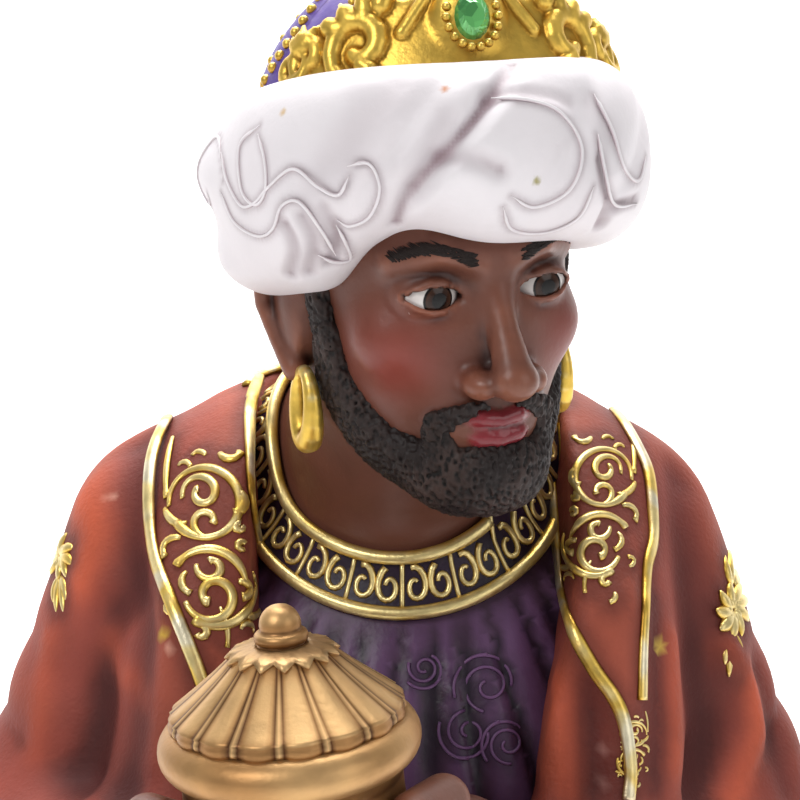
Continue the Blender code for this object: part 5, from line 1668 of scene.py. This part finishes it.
def lower_cords():
    """Rays for the borders' cords below the picture, and for the cords along the hem."""
    rays = []
    heading = np.array((0.0, 1.0, 0.0))
    for side in (-1, 1):
        for inset in (0.0026, 0.026):
            starts = front_edge(np.linspace(0.038, 0.355, 80), side, inset)
            rays.append((starts, np.tile(heading, (len(starts), 1))))
    for height in (0.0385, 0.058):
        turn = np.linspace(0.62, 2.0 * math.pi - 0.60, 230)
        back = -0.17 * np.cos(turn) + 0.006
        starts = np.stack((0.17 * np.sin(turn), back, np.full_like(turn, height)), axis=1)
        rays.append((starts, -np.stack((np.sin(turn), -np.cos(turn), np.zeros_like(turn)), axis=1)))
    return rays


def nape_cord():
    """Rays for the neck edge's cord, carried on behind the neck."""
    turn = np.linspace(math.radians(98), math.radians(262), 60)
    starts = np.stack((0.0385 * np.sin(turn), 0.016 - 0.034 * np.cos(turn), np.full_like(turn, 0.60)), axis=1)
    return starts, np.tile(np.array((0.0, 0.0, -1.0)), (len(starts), 1))


# Collar

def round_collar(radii, turns):
    """Rays that lay places of the collar's rings on the cloth."""
    back = -radii / 0.86 * np.cos(turns)
    spots = np.stack((radii * np.sin(turns), back, np.full_like(turns, 0.045)), axis=1)
    way = COLLAR_AXES @ np.array((0.0, 0.0, -1.0))
    return spots @ COLLAR_AXES.T + COLLAR_CENTRE, np.tile(way, (len(spots), 1))


COLLAR_PATTERN = 18            # pairs of scrolls round the collar


def make_collar():
    clay = sculpt(collar_form, (-0.060, -0.060, 0.470), (0.060, 0.075, 0.560), 0.0013)
    colours = mix(srgb(46, 28, 50), srgb(30, 18, 34), speckle(clay.points, 300.0, 3))
    keep(clay.finish("collar_band", colours, TUNIC_PAINT), "painted_resin", "figure")
    around = np.linspace(-math.pi, math.pi, 160)
    rings = [round_collar(np.full(160, radius), around)
             for radius in (COLLAR_INNER + 0.0008, COLLAR_OUTER - 0.0006)]
    parts = strokes_on(collar_form, rings, [0.0016, 0.0016], sides=10, lift=0.0004, reach=0.09)
    middle = 0.5 * (COLLAR_INNER + COLLAR_OUTER)
    rays, widths = [], []
    for k in range(COLLAR_PATTERN):
        post = 2.0 * math.pi * k / COLLAR_PATTERN
        for hand in (-1, 1):
            share = np.linspace(0.0, 1.0, 18)
            angle = math.radians(250) + hand * 2.0 * math.pi * 1.15 * share
            reach = 0.0029 * (1.0 - 0.72 * share)
            place = post + hand * 0.088 + reach * np.cos(angle) / middle
            rays.append(round_collar(middle + reach * np.sin(angle), place))
            widths.append(0.00078 * (1.15 - 0.4 * share))
        line = np.linspace(-1.0, 1.0, 5)
        rays.append(round_collar(middle + 0.0040 * line, post + 0.0 * line))
        widths.append(0.0006)
    parts += strokes_on(collar_form, rays, widths, sides=6, reach=0.09)
    points, faces, shade = gathered(parts)
    # The collar's gold: painted highlight on top of each cord and curl, painted shade underneath, with random
    # wear
    wear = 0.4 * speckle(points, 600.0, 6) - 0.2
    keep(Clay(points, faces).finish("collar_gold", gold_colours(shade + wear + 0.25), GOLD_PAINT),
         "painted_resin", "figure")


# Hands, cuffs, shoes and base

def make_hands():
    for i, name in ((0, "hand_left"), (1, "hand_right")):
        def form(p, i=i):
            return hand_form(p, i)
        clay = sculpt(form, (-0.085, -0.140, 0.405), (0.055, -0.040, 0.490), 0.00095)
        fine = clay.ridges(10)
        # Painted shade in the hollows, painted highlight on the raised places
        colours = mix(SKIN, SKIN_SHADE, ramp(-fine, 0.00003, 0.0005))
        colours = mix(colours, SKIN_HIGHLIGHT, 0.7 * ramp(fine, 0.00003, 0.0005))
        keep(clay.finish(name, colours, HAND_PAINT), "painted_resin", "figure")

    def cuffs(p):
        return np.minimum(cuff_form(p, 0), cuff_form(p, 1))
    clay = sculpt(cuffs, (-0.090, -0.110, 0.395), (0.060, -0.030, 0.470), 0.0012)
    colours = mix(PLUM, PLUM_DARK, speckle(clay.points, 250.0, 7))
    keep(clay.finish("cuffs", colours, TUNIC_PAINT), "painted_resin", "figure")


def make_base():
    rows = [(0.0, 0.0), (0.0, 0.004), (0.0006, 0.0055), (0.0, 0.007)]
    for share in np.linspace(0.0, 1.0, 8):
        tip = 0.5 * math.pi * share
        rows.append((BASE_BEVEL * (1.0 - math.cos(tip)), BASE_HEIGHT - BASE_BEVEL * (1.0 - math.sin(tip))))
    sides = 128
    corners, faces = [], []
    for inset, height in rows:
        for k in range(sides):
            turn = 2.0 * math.pi * k / sides
            wide = (0.5 * BASE_WIDTH - inset) * math.cos(turn)
            deep = (0.5 * BASE_DEPTH - inset) * math.sin(turn)
            corners.append((wide, deep, height))
    for i in range(len(rows) - 1):
        for k in range(sides):
            a, b = i * sides + k, i * sides + (k + 1) % sides
            faces.append((a, b, b + sides, a + sides))
    faces.append(tuple(range(sides - 1, -1, -1)))
    faces.append(tuple(range(len(corners) - sides, len(corners))))
    clay = Clay(np.array(corners), faces)
    heights = clay.points[:, 2]
    colours = mix(srgb(92, 62, 44), srgb(60, 40, 32), ramp(heights, 0.003, 0.012))
    keep(clay.finish("base", colours, BASE_PAINT), "painted_resin", "figure")
    clay = sculpt(shoe_form, (-0.055, -0.120, 0.016), (0.055, -0.050, 0.050), 0.0012)
    colours = mix(srgb(120, 84, 40), srgb(70, 46, 26), speckle(clay.points, 200.0, 12))
    keep(clay.finish("shoes", colours, JAR_PAINT), "painted_resin", "figure")
    under = sculpt(foot_form, (-0.095, -0.090, 0.019), (0.095, 0.100, 0.066), 0.003)
    colours = mix(PLUM_DARK, PLUM, 0.3 * speckle(under.points, 200.0, 13))
    keep(under.finish("under_hem", colours, TUNIC_PAINT), "painted_resin", "figure")


# Jar and stone

# Bronze gold paint, with a pale gold for painted highlight and a dark brown for painted shade and random darker
# tone
JAR_BRONZE = srgb(168, 124, 76)
JAR_HIGHLIGHT = srgb(224, 184, 128)
JAR_DARK = srgb(82, 46, 22)


LID_END = 0.0026               # height of the brown shading at the lobes' ends


def jar_rows():
    """Radius, height and kind for the turned jar: b body, l lid lobes, k knob."""
    foot = -JAR_BODY_HEIGHT
    half_rim = 0.5 * JAR_RIM_HEIGHT
    rows = [(0.0, foot, "b"), (JAR_FOOT_RADIUS * 0.92, foot, "b")]
    for share in np.linspace(0.0, 1.0, 7):
        rows.append((JAR_FOOT_RADIUS + 0.0012 * math.sin(math.pi * share) - 0.0006 * share,
                     foot + 0.0055 * share, "b"))
    belly = 0.55 * foot
    low = foot + 0.0055
    for share in np.linspace(0.05, 1.0, 14):
        rows.append((JAR_FOOT_RADIUS - 0.0008 + (JAR_BELLY_RADIUS - JAR_FOOT_RADIUS + 0.0008)
                     * math.sin(0.5 * math.pi * share), low + (belly - low) * share, "b"))
    neck = -half_rim - 0.0030
    for share in np.linspace(0.1, 1.0, 9):
        rows.append((JAR_BELLY_RADIUS + (JAR_NECK_RADIUS - JAR_BELLY_RADIUS) * math.sin(0.5 * math.pi * share),
                     belly + (neck - belly) * share, "b"))
    rows.append((JAR_NECK_RADIUS, neck + 0.0007, "b"))
    for tip in np.linspace(-70, 78, 13):
        a = math.radians(tip)
        rows.append((JAR_RIM_RADIUS - half_rim * 0.92 * (1.0 - math.cos(a)), half_rim * math.sin(a), "b"))
    rows.append((JAR_LID_RADIUS - 0.0022, half_rim - 0.0001, "b"))
    edge = LID_LOW - half_rim
    for inset, rise in ((0.0010, 0.02), (0.0003, 0.12), (0.0, 0.30), (0.0, 0.62), (0.0003, 0.88)):
        rows.append((JAR_LID_RADIUS - inset, half_rim + edge * rise, "l"))
    for share in np.linspace(0.01, 0.90, 26):
        rows.append((lid_radius(share), lid_height(share), "l"))
    for share in (0.93, 0.96, 0.98, 1.0):
        rows.append((lid_radius(share), lid_height(share), "k"))
    for tip in np.linspace(-80, 80, 9):
        a = math.radians(tip)
        rows.append((JAR_KNOB_RING - 0.0011 * (1.0 - math.cos(a)), RING_MIDDLE + 0.0012 * math.sin(a), "k"))
    for lift in np.linspace(-0.16, 0.995, 12):
        out = JAR_KNOB_RADIUS * math.sqrt(1.0 - lift**2)
        rows.append((out, KNOB_LOW + JAR_KNOB_RADIUS * (1.0 + lift), "k"))
    return rows


def make_jar():
    sides = JAR_LOBES * 10
    turn = 2.0 * math.pi * np.arange(sides) / sides
    across = (np.arange(sides) % 10) / 10.0
    gadroon = np.sin(math.pi * across) ** 0.6
    fillet = np.exp(-((np.minimum(across, 1.0 - across)) / 0.07) ** 2)
    rows = jar_rows()
    lid_rows = [height for _, height, kind in rows if kind == "l"]
    lid_low, lid_high = min(lid_rows), max(lid_rows)
    corners, shades = [], []
    for radius, height, kind in rows:
        out = np.full(sides, radius)
        up = np.full(sides, height)
        shade = np.full(sides, 0.35)
        if kind == "l":
            share = (height - lid_low) / (lid_high - lid_low)
            swell = 1.35 * JAR_LOBE_RELIEF * (1.0 - 0.55 * share)
            out = radius + swell * (0.95 * gadroon - 0.75) + 0.9 * swell * fillet
            up = height - 0.0010 * gadroon * math.exp(-(share / 0.04) ** 2)
            groove = np.exp(-((np.minimum(across, 1.0 - across) - 0.13) / 0.05) ** 2)
            ends = math.exp(-((height - lid_low) / LID_END) ** 4)
            hollow = (1.0 - gadroon) * (0.4 + 0.6 * share)
            # Painted shade in the grooves, in the hollows between lobes, at the lobes' lower ends and towards
            # the knob; painted highlight on the fillets
            shade = 0.95 - 1.3 * groove + 0.20 * fillet - 0.95 * ends * gadroon - 0.50 * hollow
            shade = shade - 0.35 * ramp(share, 0.72, 0.95)
        if kind == "b":
            # the neck just under the rim darker: painted shade
            shade = np.full(sides, 0.15 if radius < JAR_NECK_RADIUS + 0.0004 and height > -0.012 else 0.5)
        if kind == "k":
            # the knob dark at its ring and lighter towards its top: painted shade and painted highlight
            shade = np.full(sides, 0.05 + 0.6 * ramp(height, RING_MIDDLE, RING_MIDDLE + 0.001))
            if height > RING_MIDDLE + 0.0012:
                shade = np.full(sides, 0.75 * ramp(height, RING_MIDDLE + 0.001, JAR_LID_HEIGHT - 0.002))
        corners.append(np.stack((out * np.cos(turn), out * np.sin(turn), up), axis=1))
        shades.append(shade)
    points, shade = np.vstack(corners), np.concatenate(shades)
    faces = []
    for i in range(len(rows) - 1):
        for k in range(sides):
            a, b = i * sides + k, i * sides + (k + 1) % sides
            faces.append((a, b, b + sides, a + sides))
    last = (len(rows) - 1) * sides
    faces.append(tuple(range(last, last + sides)))
    star_points, star_faces, star_shade = star_collar()
    axes = JAR_AXES.T
    place = np.array(JAR_SEAT)
    points, faces, shade = welded(points @ axes + place, faces, shade)
    clay = Clay(points, faces)
    fine = clay.ridges(4)
    # lighter on raised places: painted highlight; the speckle is random tone
    tone = shade + 900.0 * fine + 0.3 * speckle(points, 260.0, 15) - 0.15
    colours = mix(JAR_DARK, JAR_BRONZE, ramp(tone, -0.35, 0.30))
    colours = mix(colours, JAR_HIGHLIGHT, 0.75 * ramp(tone, 0.35, 1.0))
    keep(clay.finish("jar_and_lid", colours, JAR_PAINT), "bronze_gold", "gift_jar")
    star = Clay(star_points @ axes + place, star_faces)
    colours = mix(JAR_DARK, JAR_HIGHLIGHT, ramp(star_shade, 0.0, 0.9))
    keep(star.finish("lid_star", colours, JAR_PAINT), "bronze_gold", "gift_jar")


def star_collar():
    """A flat zig-zag collar round the foot of the knob, which follows the lid's bell."""
    points_round = 15
    sides = points_round * 6
    turn = 2.0 * math.pi * np.arange(sides) / sides
    peak = 1.0 - np.abs((np.arange(sides) % 6) / 3.0 - 1.0)
    rows = ((0.995, 0.0, 0.0002), (0.975, 0.02, 0.0005), (0.94, 0.05, 0.0006), (0.895, 0.095, 0.0006),
            (0.89, 0.10, 0.0004), (0.89, 0.10, -0.0012), (0.99, 0.0, -0.0012))
    corners, shades = [], []
    for start, reach, lift in rows:
        share = start - reach * peak
        out = lid_radius(share) + lift + 0.0002 * (peak > 0.9)
        up = lid_height(share) + 0.6 * lift
        corners.append(np.stack((out * np.cos(turn), out * np.sin(turn), up), axis=1))
        # lighter at the points, painted highlight, and darker underneath, painted shade
        shades.append(0.42 + 0.28 * peak * (start < 0.95) - 0.5 * (lift < 0.0))
    faces = []
    count = len(rows)
    for i in range(count):
        for k in range(sides):
            a, b = i * sides + k, i * sides + (k + 1) % sides
            c, d = ((i + 1) % count) * sides + (k + 1) % sides, ((i + 1) % count) * sides + k
            faces.append((a, d, c, b))
    return np.vstack(corners), faces, np.concatenate(shades)


def make_gem():
    rings, sides = [], 16
    for share, out in ((0.80, 0.0), (1.0, 0.14), (1.0, 0.38), (0.80, 0.76), (0.52, 1.0)):
        turn = 2.0 * math.pi * (np.arange(sides) + (0.5 if share == 0.80 and out else 0.0)) / sides
        rings.append(np.stack((0.5 * GEM_WIDTH * share * np.cos(turn), np.full(sides, 0.0012 - GEM_DEPTH * out),
                               0.5 * GEM_HEIGHT * share * np.sin(turn)), axis=1))
    corners = np.vstack(rings)
    faces = []
    for i in range(len(rings) - 1):
        for k in range(sides):
            a, b = i * sides + k, i * sides + (k + 1) % sides
            if i >= 2:
                faces += [(a, b, a + sides), (b, b + sides, a + sides)]
            else:
                faces.append((a, b, b + sides, a + sides))
    faces.append(tuple(range(sides - 1, -1, -1)))
    faces.append(tuple(range(len(corners) - sides, len(corners))))
    centre = np.array(CROWN_CENTRE) + CROWN_AXES @ np.array((0.0, -GEM_OUT, GEM_RISE))
    clay = Clay(corners @ CROWN_AXES.T + centre, faces)
    piece = clay.finish("crown_stone", np.tile(srgb(20, 120, 50), (len(corners), 1)), STONE)
    piece.data.shade_flat()
    keep(piece, "green_stone", "crown_gem")


# Room and light

def make_room():
    floor_mesh = bpy.data.meshes.new("floor")
    back, rise, reach = 1.6, 2.6, 4.0
    profile = [(-reach, 0.0), (back - 0.6, 0.0)]
    profile += [(back - 0.6 + 0.6 * math.sin(a), 0.6 * (1.0 - math.cos(a)))
                for a in np.linspace(0.1, 1.57, 14)]
    profile += [(back, rise)]
    corners = [(x, y, z) for y, z in profile for x in (-reach, reach)]
    faces = [(2 * i, 2 * i + 1, 2 * i + 3, 2 * i + 2) for i in range(len(profile) - 1)]
    floor_mesh.from_pydata(corners, [], faces)
    floor_mesh.shade_smooth()
    pale = bpy.data.materials.new("pale_floor")
    pale.use_nodes = True
    shader = pale.node_tree.nodes["Principled BSDF"]
    shader.inputs["Base Color"].default_value = (0.93, 0.93, 0.93, 1.0)
    shader.inputs["Roughness"].default_value = 0.9
    shader.inputs["Emission Color"].default_value = (1.0, 1.0, 1.0, 1.0)
    shader.inputs["Emission Strength"].default_value = 0.45
    floor_mesh.materials.append(pale)
    floor = bpy.data.objects.new("floor", floor_mesh)
    bpy.context.scene.collection.objects.link(floor)


def add_light(name, place, target, size, power, colour=(1.0, 1.0, 1.0)):
    data = bpy.data.lights.new(name, "AREA")
    data.shape = "DISK"
    data.size = size
    data.energy = power
    data.color = colour
    lamp = bpy.data.objects.new(name, data)
    lamp.location = place
    lamp.rotation_euler = (Vector(target) - Vector(place)).to_track_quat("-Z", "Y").to_euler()
    bpy.context.scene.collection.objects.link(lamp)


def make_lights():
    bpy.context.scene.view_settings.view_transform = "Standard"
    world = bpy.data.worlds.new("studio")
    world.use_nodes = True
    world.node_tree.nodes["Background"].inputs["Color"].default_value = (1.0, 1.0, 1.0, 1.0)
    world.node_tree.nodes["Background"].inputs["Strength"].default_value = 0.32
    bpy.context.scene.world = world
    head = (0.0, 0.0, 0.52)
    add_light("key", (-0.75, -1.05, 1.45), head, 0.7, 9.5)
    add_light("fill", (1.1, -0.9, 0.9), head, 0.9, 3.0)
    add_light("top", (0.1, 0.3, 1.7), head, 0.8, 4.2)
    add_light("backdrop", (0.0, 0.7, 1.9), (0.0, 1.5, 0.4), 1.6, 40.0)


SKIN_PAINT = paint_material("skin_paint", 0.42, grain=700.0, grain_depth=0.00012, mottle=0.10, gloss=True,
                            specular=0.38)
HAND_PAINT = paint_material("hand_paint", 0.45, grain=700.0, grain_depth=0.00015, mottle=0.12)
EYE_PAINT = paint_material("eye_paint", 0.12, grain=60.0, grain_depth=0.00001, mottle=0.04, specular=0.30)
HAIR_PAINT = paint_material("hair_paint", 0.50, grain=1600.0, grain_depth=0.0002, mottle=0.2, specular=0.25)
TURBAN_PAINT = paint_material("turban_paint", 0.52, grain=420.0, grain_depth=0.00018, mottle=0.03)
GOLD_PAINT = paint_material("gold_paint", 0.36, metallic=0.78, grain=1100.0, grain_depth=0.00012, mottle=0.16,
                            mottle_scale=260.0)
CAP_PAINT = paint_material("cap_paint", 0.5, grain=800.0, grain_depth=0.00015, mottle=0.15)
MANTLE_PAINT = paint_material("mantle_paint", 0.62, grain=850.0, grain_depth=0.00042, mottle=0.16,
                              mottle_scale=55.0, specular=0.22)
TUNIC_PAINT = paint_material("tunic_paint", 0.40, grain=700.0, grain_depth=0.0002, mottle=0.18, specular=0.30)
BASE_PAINT = paint_material("base_paint", 0.6, grain=400.0, grain_depth=0.0004, mottle=0.25)
JAR_PAINT = paint_material("jar_paint", 0.42, metallic=0.72, grain=900.0, grain_depth=0.00010, mottle=0.10,
                           mottle_scale=180.0)
STONE = stone_material("green_stone")

add_camera()
make_room()
make_lights()
make_head()
make_eyes()
make_brows()
make_beard()
make_earrings()
make_turban()
make_crown()
make_cap()
make_mantle()
make_tunic()
make_collar()
make_hands()
make_base()
make_jar()
make_gem()
